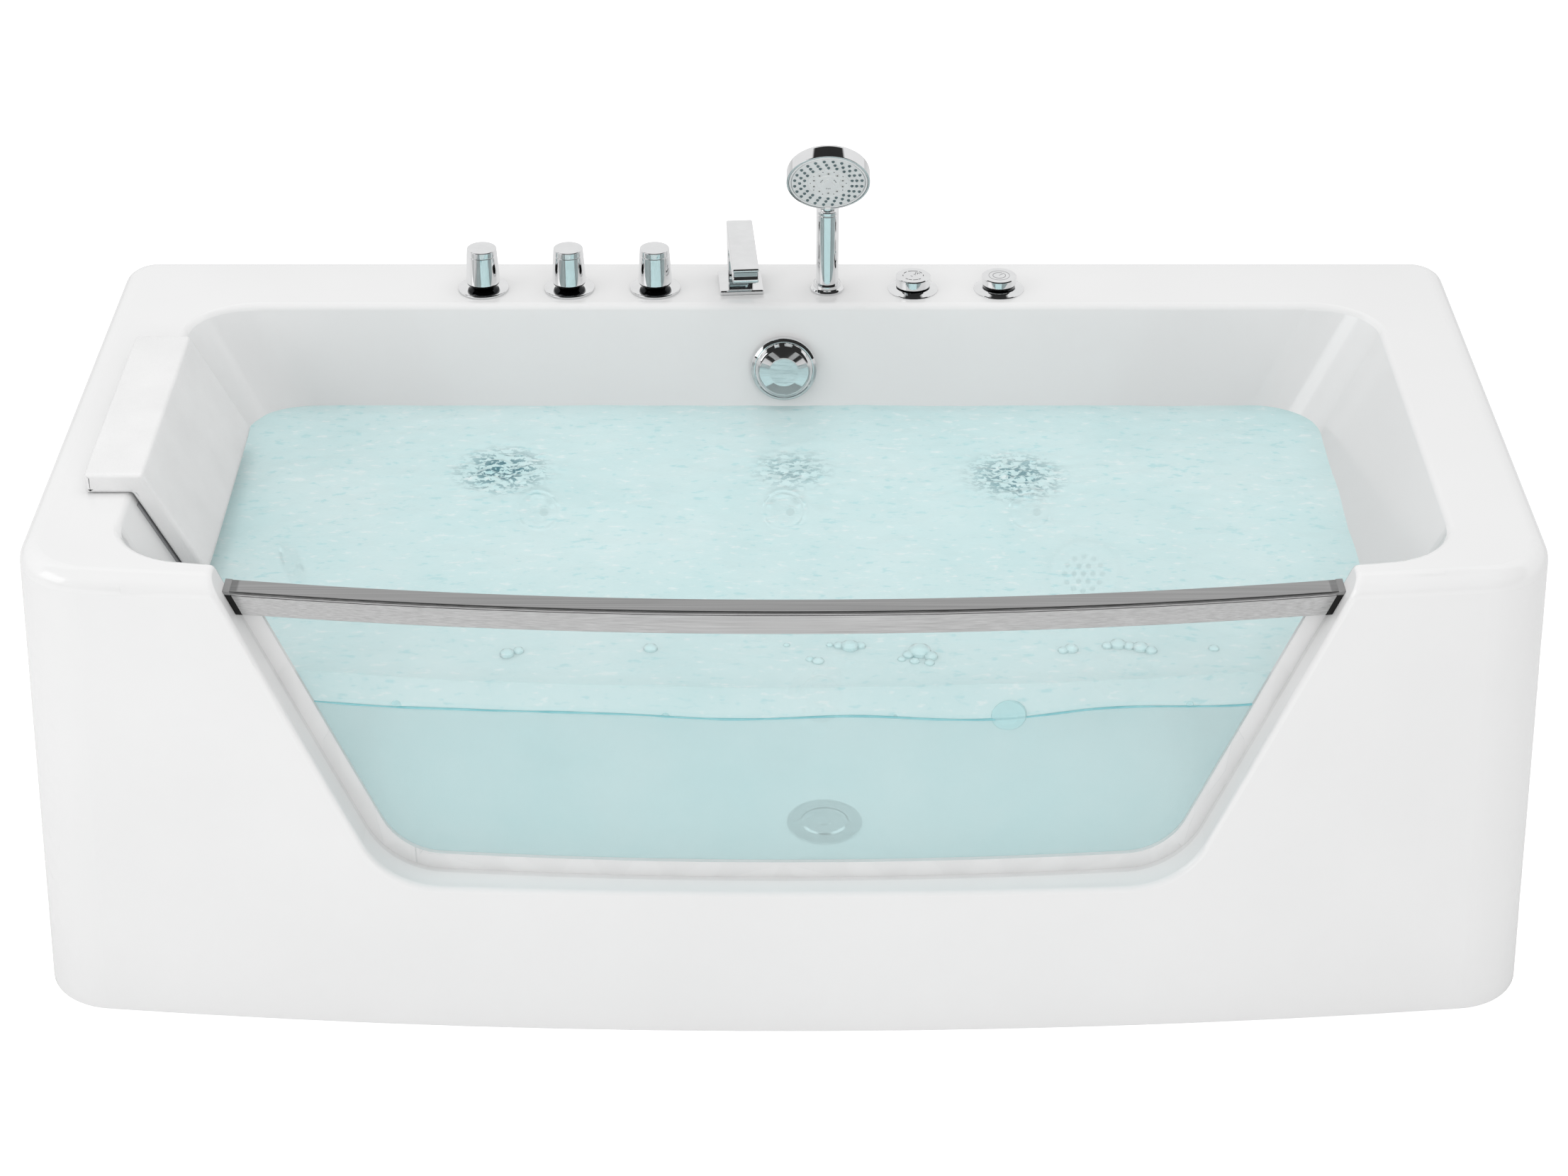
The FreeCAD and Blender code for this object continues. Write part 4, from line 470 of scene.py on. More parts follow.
def new_piece(name, forms, finish, body, replaces=(), at=(0, 0, 0), turn=Matrix.Identity(4)):
    """Forms made in millimetres about their own origin, as one piece that rides on a body."""
    mesh = together(name, forms)
    mesh.transform(Matrix.Translation(Vector(at)*MM) @ turn)
    mesh.materials.append(finish)
    piece = bpy.data.objects.new(name, mesh)
    scene.collection.objects.link(piece)
    even = piece.modifiers.new("even_shading", "WEIGHTED_NORMAL")
    even.keep_sharp = True
    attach(piece, body)
    if replaces:
        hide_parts(*replaces)
    return piece


def about(axis, degrees):
    """A turn about an axis."""
    return Matrix.Rotation(math.radians(degrees), 4, axis)


def on_ring(radius, count, start=0.0):
    """Places in millimetres spread evenly on a ring about the origin."""
    places = []
    for step in range(count):
        angle = FULL_TURN*(step + start)/count
        places.append((radius*math.cos(angle), radius*math.sin(angle), 0))
    return places


# ---------------------------------------------------------------- the row on the deck
DECK = 568
ROW_Y = 328
SPOUT_X = -53
PITCH = 106.3


def in_row(step, rise=0):
    """A place in the row, counted from the spout, at a height above the deck."""
    return (SPOUT_X + step*PITCH, ROW_Y, DECK + rise)


# Radius and height above the deck of each ring of the turned forms.
ROSETTE = [(0, 0), (31, 0), (31, 3.2, 1.2), (29.5, 3.9, 1.5), (17, 4.6, 1.0), (15, 5, 0.5), (0, 5)]
KNOB_BOWL = [(0, 5.2), (12, 5.2, 0.6), (16, 6.4, 2), (19.6, 9, 3), (20.7, 11.6), (0, 11.6)]
KNOB = [(0, 11.4), (20.6, 11.4, 0.4), (21, 12.2, 0.5), (18.68, 47.6, 0.3),
        (18.2, 47.8), (18.15, 48.5), (18.6, 48.7, 0.3), (18.05, 55.9, 1.1), (0, 56.4)]
TAPS = (("hot_tap", -3), ("cold_tap", -2), ("diverter", -1))
new_piece("tap_rosette_set", [moved(turned(ROSETTE), in_row(step)) for name, step in TAPS],
          CHROME, "tub", ["tap_rosettes"])
for name, step in TAPS:
    new_piece(f"{name}_grip", [turned(KNOB)], CHROME, name, [f"{name}_knob"], in_row(step))
    # The bowl under each knob is painted dark, as a painted reflection of the shade below it.
    new_piece(f"{name}_bowl", [turned(KNOB_BOWL)], CHROME_PAINTED_DARK, name, (), in_row(step))


# ---------------------------------------------------------------- waterfall spout
SPOUT_TURN = about("Z", 4)
new_piece("spout_plate", [slab((-27, -18, 0), (27, 41, 6), 2)], CHROME, "tub",
          ["spout_base_plate"], in_row(0), SPOUT_TURN)
SPOUT_SIDE = [(-102.5, 58), (-102.5, 71.6), (34, 71.6), (36, 68), (36, 6), (8, 6), (8, 50, 8), (2, 57, 6),
              (-60, 57), (-99, 57, 3)]
stand = about("Y", 90) @ about("Z", 90)
spout_body = moved(pressed(rounded_line(SPOUT_SIDE, closed=True), 31.2, 1.6), (-15.6, 0, 0), stand)
spout_top = slab((-16, -105, 72.6), (16, 36, 77), 1.9)
spout_slot = slab((-15, -98, 70), (15, 33, 74), 0.3)
new_piece("spout", [spout_body, spout_top, spout_slot], CHROME, "tub",
          ["waterfall_spout"], in_row(0), SPOUT_TURN)
new_piece("spout_outlet", [slab((-12.5, -99, 55.4), (12.5, -85, 58.5), 0.8)], BLACK_PLASTIC, "tub",
          (), in_row(0), SPOUT_TURN)

# ---------------------------------------------------------------- hand shower
SHOWER_AT = in_row(1)
HOLDER = [(0, 0), (20.5, 0), (20.5, 2.6, 1.0), (19, 4.6, 1.5), (17.2, 5.6, 0.8), (17, 9.8, 0.6), (16.2, 10),
          (16.1, 0)]
HANDLE = [(0, -24), (13.8, -24, 1), (13.8, 102.4, 0.4), (13.2, 102.8), (13.2, 103.8), (13.8, 104.2, 0.4),
          (13.8, 108, 1.6), (11.6, 109.5, 0.8), (11, 110.5, 0.5), (11, 126), (0, 126)]
HEAD = [(0, -20), (50.4, -20, 5), (50.4, 0, 1.0), (47.9, 0, 0.3), (47.9, -3.4), (44.9, -3.4), (44.9, -4),
        (0, -4)]
HEAD_TURN = about("X", 116.7)
HEAD_ABOVE_HOLDER = Vector((0, -37, 159))
HEAD_AT = Vector(SHOWER_AT) + HEAD_ABOVE_HOLDER
new_piece("shower_stand", [turned(HOLDER)], CHROME, "tub", ["shower_holder"], SHOWER_AT)
handle = moved(turned(HANDLE), SHOWER_AT)
head = moved(turned(HEAD, 160), HEAD_AT, HEAD_TURN)
new_piece("handset", [handle, head], CHROME, "handset", ["handset_body"])
FACE = [(0, -3.9), (44.4, -3.9), (44.4, -0.1, 0.8), (25.4, 0, 0.2), (25.2, -0.5, 0.2), (24.6, -0.5, 0.2),
        (24.4, 0, 0.2), (14.2, 0, 0.3), (13.6, 0.5, 0.3), (0, 0.6)]
TRIANGLE = [(-9, -5.2, 2), (9, -5.2, 2), (0, 10.4, 2)]
inner_disc = moved(pressed(rounded_line(TRIANGLE, closed=True), 1.0, 0.3), (0, 0, 0.3))
new_piece("spray_plate", [turned(FACE, 128), inner_disc], SPRAY_GREY, "handset",
          ["spray_face"], HEAD_AT, HEAD_TURN)
NOZZLE = [(0, -0.2), (2.0, -0.2), (1.9, 0.5, 0.4), (1.25, 1.5, 0.4), (0.5, 1.6, 0.2), (0.45, 1.0), (0, 1.0)]
NOZZLE_RINGS = ((40.8, 24), (34.5, 21), (29.0, 18))
jets = []
for radius, count in NOZZLE_RINGS:
    jets += [moved(turned(NOZZLE, 14), at) for at in on_ring(radius, count, 0.5)]
new_piece("spray_nozzles", jets, NOZZLE_RUBBER, "handset", (), HEAD_AT, HEAD_TURN)
BOSS = [(0, -0.2), (2.5, -0.2), (2.5, 0.5, 0.3), (0, 0.6)]
BOSS_COUNT = 10
BOSS_RING = 18.2
bosses = [moved(turned(BOSS, 20), at) for at in on_ring(BOSS_RING, BOSS_COUNT, 0.5)]
new_piece("spray_bosses", bosses, WHITE_PIPE, "handset", (), HEAD_AT, HEAD_TURN)
# Black discs on the bosses: painted shade of their holes.
HOLE_SHADE = [(0, 0.4), (0.95, 0.4), (0.95, 0.75, 0.1), (0, 0.75)]
PIN = [(0, -0.1), (0.6, -0.1), (0.6, 0.25, 0.1), (0, 0.25)]
PIN_RING = 21.6
hole_shade_and_pins = [moved(turned(HOLE_SHADE, 14), at) for at in on_ring(BOSS_RING, BOSS_COUNT, 0.5)]
hole_shade_and_pins += [moved(turned(PIN, 12), at) for at in on_ring(PIN_RING, BOSS_COUNT)]
# Three pins stand off each side of the triangle: their radius and height, and the degrees between them.
SIDE_PIN_RADIUS = 9.6
SIDE_PIN_HEIGHT = 0.55
SIDE_PIN_STEP = 13
for middle in (150, 270, 390):
    for step in (-1, 0, 1):
        angle = math.radians(middle + SIDE_PIN_STEP*step)
        at = (SIDE_PIN_RADIUS*math.cos(angle), SIDE_PIN_RADIUS*math.sin(angle), SIDE_PIN_HEIGHT)
        hole_shade_and_pins.append(moved(turned(PIN, 12), at))
# The discs on the bosses are painted shade of their holes; the pins are black.
new_piece("spray_holes", hole_shade_and_pins, RUBBER, "handset", (), HEAD_AT, HEAD_TURN)
SELECTOR = [(44.9, -3), (47.4, -3), (47.4, -0.4, 0.4), (46.2, 0.3, 0.8), (44.9, -0.3, 0.4), (44.9, -3)]
tab = slab((-3.4, -47.3, -2.6), (3.4, -44.95, 3.2), 1.0)
new_piece("selector_ring", [turned(SELECTOR, 160), tab], SPRAY_GREY, "selector",
          ["spray_selector"], HEAD_AT, HEAD_TURN)

# ---------------------------------------------------------------- air control and on/off button
CONTROL_TOP = 18.4
FLANGE = [(0, 0), (31, 0), (31, 0.9, 0.6), (29.8, 1.5, 0.6), (22.5, 4.4, 1.5), (20, 4.6), (0, 4.6)]
FLANGE_NECK = [(0, 4.4), (20, 4.4), (20, 8, 0.3), (0, 8)]
DISC = [(0, 8.6), (20.4, 8.6), (20.4, 6.4), (21.2, 6.4, 0.3), (21.5, 7, 0.4), (21.5, 17.4, 0.9),
        (20.3, CONTROL_TOP, 0.4), (0, CONTROL_TOP)]
BUTTON = [(0, 12.8), (20.6, 12.8), (20.6, 9.2), (21.2, 9.2, 0.3), (21.5, 9.6, 0.4), (21.5, 17.4, 0.9),
          (20.3, CONTROL_TOP, 0.4), (0, CONTROL_TOP)]
new_piece("control_rings", [moved(turned(FLANGE), in_row(2)), moved(turned(FLANGE), in_row(3))],
          CHROME, "tub", ["control_flanges"])
# The necks are painted dark, as a painted reflection of the shade under the knobs.
new_piece("control_necks", [moved(turned(FLANGE_NECK), in_row(2)), moved(turned(FLANGE_NECK), in_row(3))],
          CHROME_PAINTED_DARK, "tub", ())
new_piece("air_control", [turned(DISC)], CHROME, "air_knob", ["air_control_knob"], in_row(2))


def arc_strip(radius, width, start, end, height=0.25):
    """A thin strip along part of a ring, in millimetres and degrees."""
    steps = max(3, int((end - start)/5))
    outer = []
    inner = []
    for step in range(steps + 1):
        angle = math.radians(start + (end - start)*step/steps)
        outer.append(((radius + width/2)*math.cos(angle), (radius + width/2)*math.sin(angle)))
        inner.append(((radius - width/2)*math.cos(angle), (radius - width/2)*math.sin(angle)))
    return moved(pressed(outer + inner[::-1], height, 0), (0, 0, -height/2))


# The air control's marks: start and end of its arcs in degrees, and radius and place of its dots.
AIR_ARCS = ((62, 118), (128, 152), (30, 52), (242, 262), (268, 296), (300, 316), (222, 238), (172, 188),
            (-8, 8))
AIR_DOTS = ((0.8, (3, 5, 0)), (0.6, (5.5, 4, 0)), (0.9, (6, 6.5, 0)), (0.6, (8.2, 5.2, 0)),
            (0.7, (3.6, 7.6, 0)))
marks = [arc_strip(12.6, 0.9, start, end) for start, end in AIR_ARCS]
marks += [arc_strip(3.0, 0.5, start, start + 70, 0.2) for start in (10, 190)]
for radius, at in AIR_DOTS:
    dot = [(0, -0.1), (radius, -0.1), (radius, 0.12, 0.05), (0, 0.12)]
    marks.append(moved(turned(dot, 16), at))
new_piece("air_marks", marks, BLACK_PLASTIC, "air_knob", (), in_row(2, CONTROL_TOP))
new_piece("on_off_button", [turned(BUTTON)], CHROME, "button", ["power_button"], in_row(3))
ring_marks = [arc_strip(12.8, 0.5, 0, 180), arc_strip(12.8, 0.5, 180, 360),
              arc_strip(7.8, 0.8, 62, 240), arc_strip(7.8, 0.8, 240, 388),
              moved(slab((-0.4, 0, -0.12), (0.4, 9.5, 0.12), 0.08), (0, 0, 0), about("Z", -45))]
new_piece("on_off_marks", ring_marks, BACKING, "button", (), in_row(3, CONTROL_TOP))

# ---------------------------------------------------------------- overflow, drain and jets
# The basin's depth, how far its walls lean in over that depth, and where they stand at the deck.
BASIN_DROP = 458
BACK_RUN = 64
END_RUN = 229
BACK_TOP_Y = 283
END_TOP_X = 722
BACK_LEAN = math.degrees(math.atan2(BACK_RUN, BASIN_DROP))
WALL_TURN = about("X", 90 - BACK_LEAN)


def back_wall_y(height):
    """Y of the basin's back wall, in millimetres."""
    return BACK_TOP_Y - BACK_RUN*(DECK - height)/BASIN_DROP


def end_wall_x(height):
    """Half length of the basin, in millimetres."""
    return END_TOP_X - END_RUN*(DECK - height)/BASIN_DROP


OVERFLOW_Z = 489
OVERFLOW_AT = (0, back_wall_y(OVERFLOW_Z), OVERFLOW_Z)
OVERFLOW = [(0, 3.4), (38, 3.4, 0.8), (40.5, 4.6, 0.8), (40.5, 11.2, 2.2), (36.8, 13.4, 0.6),
            (35.6, 13.2, 0.4), (34.8, 14.6, 0.8), (31.4, 19.4, 5), (18, 21.2, 12), (0, 21.3)]
new_piece("overflow_cover", [turned(OVERFLOW, 128)], CHROME, "overflow", ["overflow_knob"],
          OVERFLOW_AT, WALL_TURN)
DRAIN_AT = (48, -164, 110)
PLUG = [(0, -2.6), (27.4, -2.6, 0.5), (28, 1.2, 0.8), (24, 2.3, 1.5), (9, 2.1, 1), (8, 2.5, 0.3), (0, 2.5)]
new_piece("plug_cover", [turned(PLUG)], CHROME, "plug", ["drain_plug"], DRAIN_AT)
JET_RING = [(24.3, 0.3), (24.3, 4.4, 0.5), (26, 5, 1), (28.5, 4.2, 2), (31, 1.5, 1), (31, 0.02), (24.3, 0.3)]
EYE = [(0, 0.6), (24, 0.6), (24, 4.4, 0.5), (22.5, 5.4, 1), (17, 6.9, 2), (0, 7.4)]
EYE_NOZZLE = [(5.4, 5), (5.4, 9, 0.4), (7.4, 9.2, 0.8), (8.4, 5)]
# A black disc across the nozzle's opening: painted shade of its bore.
BORE_SHADE = [(0, 7.2), (5.6, 7.2), (5.6, 7.7), (0, 7.7)]
NOZZLE_IN_EYE = (8, 0, 0)


def jet_eye():
    """The turning face of a jet, with its nozzle off the middle."""
    eye = turned(EYE)
    nozzle = moved(turned(EYE_NOZZLE, 40), NOZZLE_IN_EYE)
    return [eye, nozzle]


BACK_JET_Z = 300
END_JET_Z = 318.5
JET_PLACES = [((x, back_wall_y(BACK_JET_Z), BACK_JET_Z), WALL_TURN) for x in (-310, 0, 310)]
END_LEAN = math.degrees(math.atan2(END_RUN, BASIN_DROP))
JET_PLACES += [((-end_wall_x(END_JET_Z), y, END_JET_Z), about("Y", 90 - END_LEAN)) for y in (-110, 80)]
new_piece("jet_collars", [moved(turned(JET_RING), at, turn) for at, turn in JET_PLACES], CHROME, "tub",
          ["jet_rings"])
for count, (at, turn) in enumerate(JET_PLACES, start=1):
    new_piece(f"jet_eye_{count}", jet_eye(), SATIN_CHROME, f"nozzle_{count}",
              [f"jet_nozzle_{count}"], at, turn)
    # The black disc in each nozzle is painted shade of its bore.
    new_piece(f"jet_bore_shade_{count}", [moved(turned(BORE_SHADE, 40), NOZZLE_IN_EYE)], BLACK_PLASTIC,
              f"nozzle_{count}", (), at, turn)

# ---------------------------------------------------------------- rail over the glass
GLASS_RADIUS = 4300
GLASS_AXIS_Y = 3916
RAIL_SECTION = [(-7, 517.2, 1.2), (-7, 540.2, 0.4), (-6.4, 540.6, 0.2), (-6.4, 541.6, 0.2), (-7, 542, 0.4),
                (-6, 545, 1.6), (18.8, 545, 1.6), (19, 517.2, 1.2), (8.6, 517.2, 0.3), (8.6, 539.2),
                (-0.6, 539.2), (-0.6, 517.2, 0.3)]


# The window's recess: half its width at its lower edge, that edge's height, and how its sides lean out.
RECESS_HALF = 440
RECESS_BOTTOM = 188
RECESS_SLANT = 0.44
CAP_WIDTH = 7


def rail_half(height):
    """Half length of the rail between its caps, in millimetres."""
    side = RECESS_HALF + RECESS_SLANT*(height - RECESS_BOTTOM)
    return side - CAP_WIDTH*math.sqrt(1 + RECESS_SLANT**2)


def rail_bar():
    """The rail's section carried along the bow of the glass, its ends cut to the slant of the recess."""
    made = bmesh.new()
    section = rounded_line(RAIL_SECTION, closed=True, steps=4)
    steps = 90
    stations = []
    for step in range(steps + 1):
        station = []
        for outward, height in section:
            x = rail_half(height)*(2*step/steps - 1)
            radius = GLASS_RADIUS - outward
            station.append(made.verts.new((x*MM, (GLASS_AXIS_Y - math.sqrt(radius**2 - x**2))*MM, height*MM)))
        stations.append(station)
    for near, far in zip(stations, stations[1:]):
        for index in range(len(section)):
            after = (index + 1) % len(section)
            made.faces.new((near[index], near[after], far[after], far[index]))
    made.faces.new(stations[0][::-1])
    made.faces.new(stations[-1])
    bmesh.ops.triangulate(made, faces=[face for face in made.faces if len(face.verts) > 4])
    bmesh.ops.recalc_face_normals(made, faces=made.faces)
    return made


new_piece("rail", [rail_bar()], RAIL_STEEL, "tub", ["top_rail"])

# ---------------------------------------------------------------- headrest
PAD_Y = (-183, 153)
PAD_SECTION = [(-770, 568.3, 3), (-770, 594, 5), (-705.5, 594, 6), (-640.5, 464, 7), (-667.2, 464, 6),
               (-719.2, 568.3, 4)]
# Millimetres: the rounding of the pad's ends, the drop of its crown there and how far in that reaches.
PAD_EDGE = 5
PAD_CROWN = 0.9
PAD_CROWN_REACH = 22
PAD_STEPS = 48
PAD_GRAIN = 6


def padded_form():
    """The pad's section along the wall, drawn in towards both ends and slightly crowned."""
    made = bmesh.new()
    line = rounded_line(PAD_SECTION, closed=True, steps=6)
    fine = []
    for start, end in zip(line, line[1:] + line[:1]):
        pieces = max(1, int((end - start).length/PAD_GRAIN))
        fine += [start.lerp(end, step/pieces) for step in range(pieces)]
    inward = []
    for index, point in enumerate(fine):
        along = fine[(index + 1) % len(fine)] - fine[index - 1]
        inward.append(Vector((along.y, -along.x)).normalized())
    stations = []
    ends = [PAD_EDGE*(1 - math.cos(math.radians(angle))) for angle in (0, 18, 36, 54, 72, 90)]
    low, high = PAD_Y
    length = high - low
    spots = [low + reach for reach in ends]
    spots += [low + PAD_EDGE + (length - 2*PAD_EDGE)*step/PAD_STEPS for step in range(1, PAD_STEPS)]
    spots += [high - reach for reach in ends[::-1]]
    for spot in spots:
        near = min(spot - low, high - spot)
        drawn = PAD_EDGE - math.sqrt(max(0, PAD_EDGE**2 - (PAD_EDGE - min(near, PAD_EDGE))**2))
        drawn += PAD_CROWN*math.exp(-near/PAD_CROWN_REACH)
        station = []
        for point, way in zip(fine, inward):
            at = point + way*drawn
            station.append(made.verts.new((at.x*MM, spot*MM, at.y*MM)))
        stations.append(station)
    for near, far in zip(stations, stations[1:]):
        for index in range(len(fine)):
            after = (index + 1) % len(fine)
            made.faces.new((near[index], near[after], far[after], far[index]))
    caps = [made.faces.new(stations[0][::-1]), made.faces.new(stations[-1])]
    bmesh.ops.triangulate(made, faces=caps)
    bmesh.ops.recalc_face_normals(made, faces=made.faces)
    return made


cushion = new_piece("headrest_pad", [padded_form()], CUSHION, "tub", ["headrest_cushion"])

# ---------------------------------------------------------------- water, as part of the stage
# Millimetres: how far the water reaches into the walls, its gap to the front wall, the glass with the wall
# behind it, the radius of the basin's upright corners, and the lower end of the water's front.
WATER_REACH = 2
GLASS_GAP = 0.5
FRONT_THICKNESS = 14
CORNER_RADIUS = 75
FRONT_BOTTOM = 112


def ripple(x, y):
    """Height of the waves at a place, in metres, with rougher patches near the jets."""
    swell = noise.noise(Vector((x*9, y*14, 0.3)))*0.0016 + noise.noise(Vector((x*34, y*50, 4.1)))*0.0007
    for spot_x, spot_y, spread_x, strength in PATCHES:
        away = ((x - spot_x)/spread_x)**2 + ((y - spot_y)/0.05)**2
        if away < 9:
            swell += math.exp(-away)*strength*0.006*noise.noise(Vector((x*90, y*110, 7.7)))
    return swell


def bow_y(x):
    """Y of the basin's front wall, in millimetres."""
    return GLASS_AXIS_Y - math.sqrt((GLASS_RADIUS - FRONT_THICKNESS)**2 - x**2)


def sheet_of(made, columns, rows, place):
    """A grid of faces whose corners come from place(part along, part across)."""
    grid = [[made.verts.new(place(column/columns, row/rows)) for column in range(columns + 1)]
            for row in range(rows + 1)]
    for low, high in zip(grid, grid[1:]):
        for column in range(columns):
            made.faces.new((low[column], low[column + 1], high[column + 1], high[column]))


def surface_place(along, across):
    """A place on the water's surface, in metres."""
    half = end_wall_x(WATER_TOP) + WATER_REACH
    back = back_wall_y(WATER_TOP) + WATER_REACH
    side = bow_y(half)
    y = side + (back - side)*across
    into_corner = max(0, y - (back - CORNER_RADIUS))
    rounded = half - CORNER_RADIUS + math.sqrt(max(0, CORNER_RADIUS**2 - into_corner**2))
    x = rounded*(2*along - 1)
    front = bow_y(x) - WATER_REACH
    y = front + (back - front)*across
    return (x*MM, y*MM, WATER_TOP*MM + ripple(x*MM, y*MM))


# The line on the glass: its height, and the height and length of its waves.
LINE = 397
LINE_WAVE = 9
LINE_WAVE_LENGTH = 170


def line_height(x):
    """Height of the wavy line that the water leaves on the glass, in millimetres."""
    return LINE + LINE_WAVE*noise.noise(Vector((x/LINE_WAVE_LENGTH, 0.4, 0.2)))


def front_place(along, across, low=None, high=None):
    """A place on the water's front, between two heights in millimetres or from or to the wavy line."""
    level = (low or LINE)*(1 - across) + (high or LINE)*across
    x = (end_wall_x(level) + WATER_REACH)*(2*along - 1)
    height = (low or line_height(x))*(1 - across) + (high or line_height(x))*across
    waves = ripple(x*MM, bow_y(x)*MM)*across if high else 0
    return (x*MM, (bow_y(x) - GLASS_GAP)*MM, height*MM + waves)


def on_glass(x, height, depth=0.0):
    """A place just behind the glass, in millimetres."""
    return (x, bow_y(x) - GLASS_GAP - depth, height)


def water_line():
    """The rounded edge of the water where it meets the glass."""
    made = bmesh.new()
    columns = 260
    around = 8
    half = end_wall_x(LINE) - 4
    rings = []
    for column in range(columns + 1):
        x = half*(2*column/columns - 1)
        x, y, z = on_glass(x, line_height(x), 0.4)
        thick = 1.2 + 0.7*noise.noise(Vector((x/45, 1.7, 0.9)))
        ring = []
        for step in range(around):
            angle = FULL_TURN*step/around
            place = (x*MM, (y + thick*math.cos(angle))*MM, (z + thick*math.sin(angle))*MM)
            ring.append(made.verts.new(place))
        rings.append(ring)
    for near, far in zip(rings, rings[1:]):
        for step in range(around):
            after = (step + 1) % around
            made.faces.new((near[step], near[after], far[after], far[step]))
    return made


def bubble(radius):
    """A low dome on the water, its radius in millimetres."""
    return turned([(radius, -0.3), (radius*0.92, radius*0.35, 1), (radius*0.5, radius*0.62, 1),
                   (0, radius*0.7)], 20)


# Bubbles on the surface behind the glass: place and radius, in millimetres.
FLOATING = [(148, -303, 13), (136, -309, 7), (160, -312, 8), (142, -322, 6), (158, -325, 6), (128, -318, 5),
            (60, -290, 6), (72, -292, 10), (84, -290, 6), (50, -288, 4), (28, -318, 5), (37, -322, 7),
            (3, -289, 4), (-146, -296, 8), (305, -300, 6), (314, -297, 8), (354, -290, 6), (366, -288, 9),
            (378, -291, 7), (390, -294, 9), (401, -300, 7), (470, -296, 6), (-290, -300, 6), (-302, -306, 8)]
# Bubbles at the glass: x, rise above the line, and radius, in millimetres.
AT_GLASS = [(243, 4, 20), (-128, 0, 5), (440, 2, 5), (-420, 3, 6), (120, 1, 3)]
surface = bmesh.new()
sheet_of(surface, 420, 200, surface_place)
sheet_of(surface, 200, 12, lambda along, across: front_place(along, across, high=WATER_TOP))
floating = [moved(bubble(radius), (x, y, WATER_TOP)) for x, y, radius in FLOATING]
front = bmesh.new()
sheet_of(front, 200, 40, lambda along, across: front_place(along, across, low=FRONT_BOTTOM))
FLAT_ON_GLASS = about("X", 90) @ Matrix.Diagonal((1, 1, 0.3, 1))
at_glass = []
for x, rise, radius in AT_GLASS:
    at_glass.append(moved(bubble(radius), on_glass(x, line_height(x) + rise, -0.4), FLAT_ON_GLASS))
# The edge's darker teal is painted shade of the meniscus.
for name, forms, finish in (("water", [surface, *floating], WATER),
                            ("water_at_glass", [front, *at_glass], WATER_FRONT),
                            ("water_edge_shade", [water_line()], WATER_EDGE_SHADE)):
    sheet = together(name, forms)
    sheet.materials.append(finish)
    water = bpy.data.objects.new(name, sheet)
    scene.collection.objects.link(water)


# ---------------------------------------------------------------- floor, backdrop and light
def white_ground():
    """A white floor that glows a little for the eye, with the object's shadow on it."""
    made = bpy.data.materials.new("ground")
    made.use_nodes = True
    tree = made.node_tree
    tree.nodes.clear()
    diffuse = tree.nodes.new("ShaderNodeBsdfDiffuse")
    diffuse.inputs["Color"].default_value = (0.86, 0.86, 0.86, 1)
    glow = tree.nodes.new("ShaderNodeEmission")
    glow.inputs["Color"].default_value = (1, 1, 1, 1)
    paths = tree.nodes.new("ShaderNodeLightPath")
    strength = tree.nodes.new("ShaderNodeMath")
    strength.operation = "MULTIPLY"
    strength.inputs[1].default_value = 0.55
    tree.links.new(paths.outputs["Is Camera Ray"], strength.inputs[0])
    tree.links.new(strength.outputs[0], glow.inputs["Strength"])
    both = tree.nodes.new("ShaderNodeAddShader")
    tree.links.new(diffuse.outputs[0], both.inputs[0])
    tree.links.new(glow.outputs[0], both.inputs[1])
    out = tree.nodes.new("ShaderNodeOutputMaterial")
    tree.links.new(both.outputs[0], out.inputs["Surface"])
    return made


floor_mesh = bpy.data.meshes.new("floor")
FLOOR_HALF = 14
floor_mesh.from_pydata([(-FLOOR_HALF, -FLOOR_HALF, 0), (FLOOR_HALF, -FLOOR_HALF, 0),
                        (FLOOR_HALF, FLOOR_HALF, 0), (-FLOOR_HALF, FLOOR_HALF, 0)], [], [(0, 1, 2, 3)])
floor_mesh.materials.append(white_ground())
floor = bpy.data.objects.new("floor", floor_mesh)
floor.location.z = -0.0005
scene.collection.objects.link(floor)


def lamp(name, at, toward, size, power):
    """A rectangular lamp at a place, turned toward another."""
    data = bpy.data.lights.new(name, "AREA")
    data.shape = "RECTANGLE"
    data.size, data.size_y = size
    data.energy = power
    made = bpy.data.objects.new(name, data)
    made.location = at
    made.rotation_euler = (Vector(toward) - Vector(at)).to_track_quat("-Z", "Y").to_euler()
    scene.collection.objects.link(made)
    return made


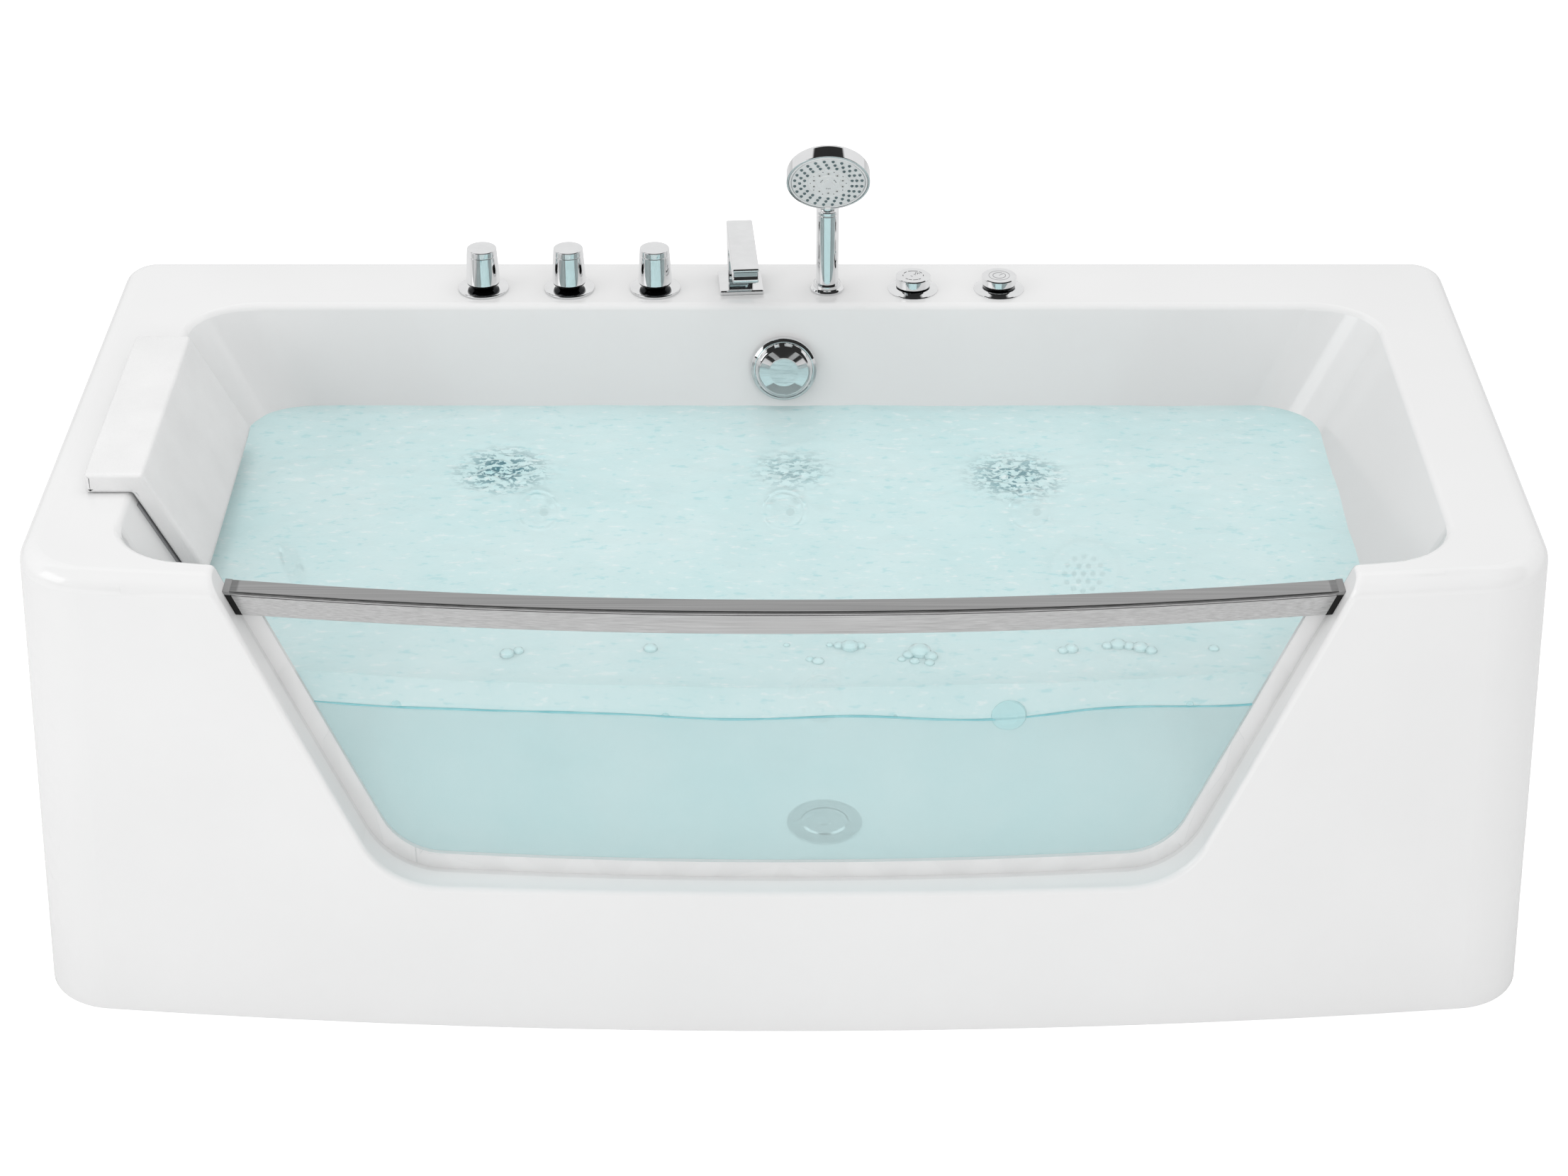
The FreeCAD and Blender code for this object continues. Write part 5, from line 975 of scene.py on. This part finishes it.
overhead = lamp("overhead", (0, 0.2, 3.6), (0, 0, 0.3), (3.4, 2.2), 24)
lamp("left_window", (-3.4, -1.4, 2.0), (0, 0, 0.4), (2.0, 1.8), 22)
front_fill = lamp("front_fill", (0.6, -4.4, 2.5), (0, 0.1, 0.4), (3.6, 1.6), 44)
overhead.visible_glossy = False
front_fill.visible_glossy = False

world = bpy.data.worlds.new("studio")
world.use_nodes = True
scene.world = world
sky = world.node_tree
background = sky.nodes["Background"]
background.inputs["Color"].default_value = (1, 1, 1, 1)
rays = sky.nodes.new("ShaderNodeLightPath")


def chosen(ray, otherwise, value):
    """One brightness for a kind of ray, and another for the rest; both may come from a node."""
    made = sky.nodes.new("ShaderNodeMix")
    sky.links.new(rays.outputs[ray], made.inputs["Factor"])
    for socket, source in (("A", otherwise), ("B", value)):
        if isinstance(source, (int, float)):
            made.inputs[socket].default_value = source
        else:
            sky.links.new(source, made.inputs[socket])
    return made.outputs["Result"]


# In reflections the studio is light at its sides and back, and dark above and behind the camera.
# The dark part lies towards one direction, and sets in between two values of the cosine to it.
TOWARDS_DARK = (0, -0.75, 0.66)
DARK_FROM = 0.26
DARK_WHOLE = 0.31
STUDIO_LIGHT = 0.86
STUDIO_DARK = 0.03
FILL_LIGHT = 0.76
directions = sky.nodes.new("ShaderNodeTexCoord")
towards = sky.nodes.new("ShaderNodeVectorMath")
towards.operation = "DOT_PRODUCT"
towards.inputs[1].default_value = TOWARDS_DARK
sky.links.new(directions.outputs["Generated"], towards.inputs[0])
shade = sky.nodes.new("ShaderNodeMapRange")
shade.inputs["From Min"].default_value = DARK_FROM
shade.inputs["From Max"].default_value = DARK_WHOLE
shade.inputs["To Min"].default_value = STUDIO_LIGHT
shade.inputs["To Max"].default_value = STUDIO_DARK
sky.links.new(towards.outputs["Value"], shade.inputs["Value"])
mirrored = chosen("Is Glossy Ray", FILL_LIGHT, shade.outputs["Result"])
sky.links.new(chosen("Is Camera Ray", mirrored, 1.0), background.inputs["Strength"])

# ---------------------------------------------------------------- picture settings
scene.view_settings.view_transform = "Standard"
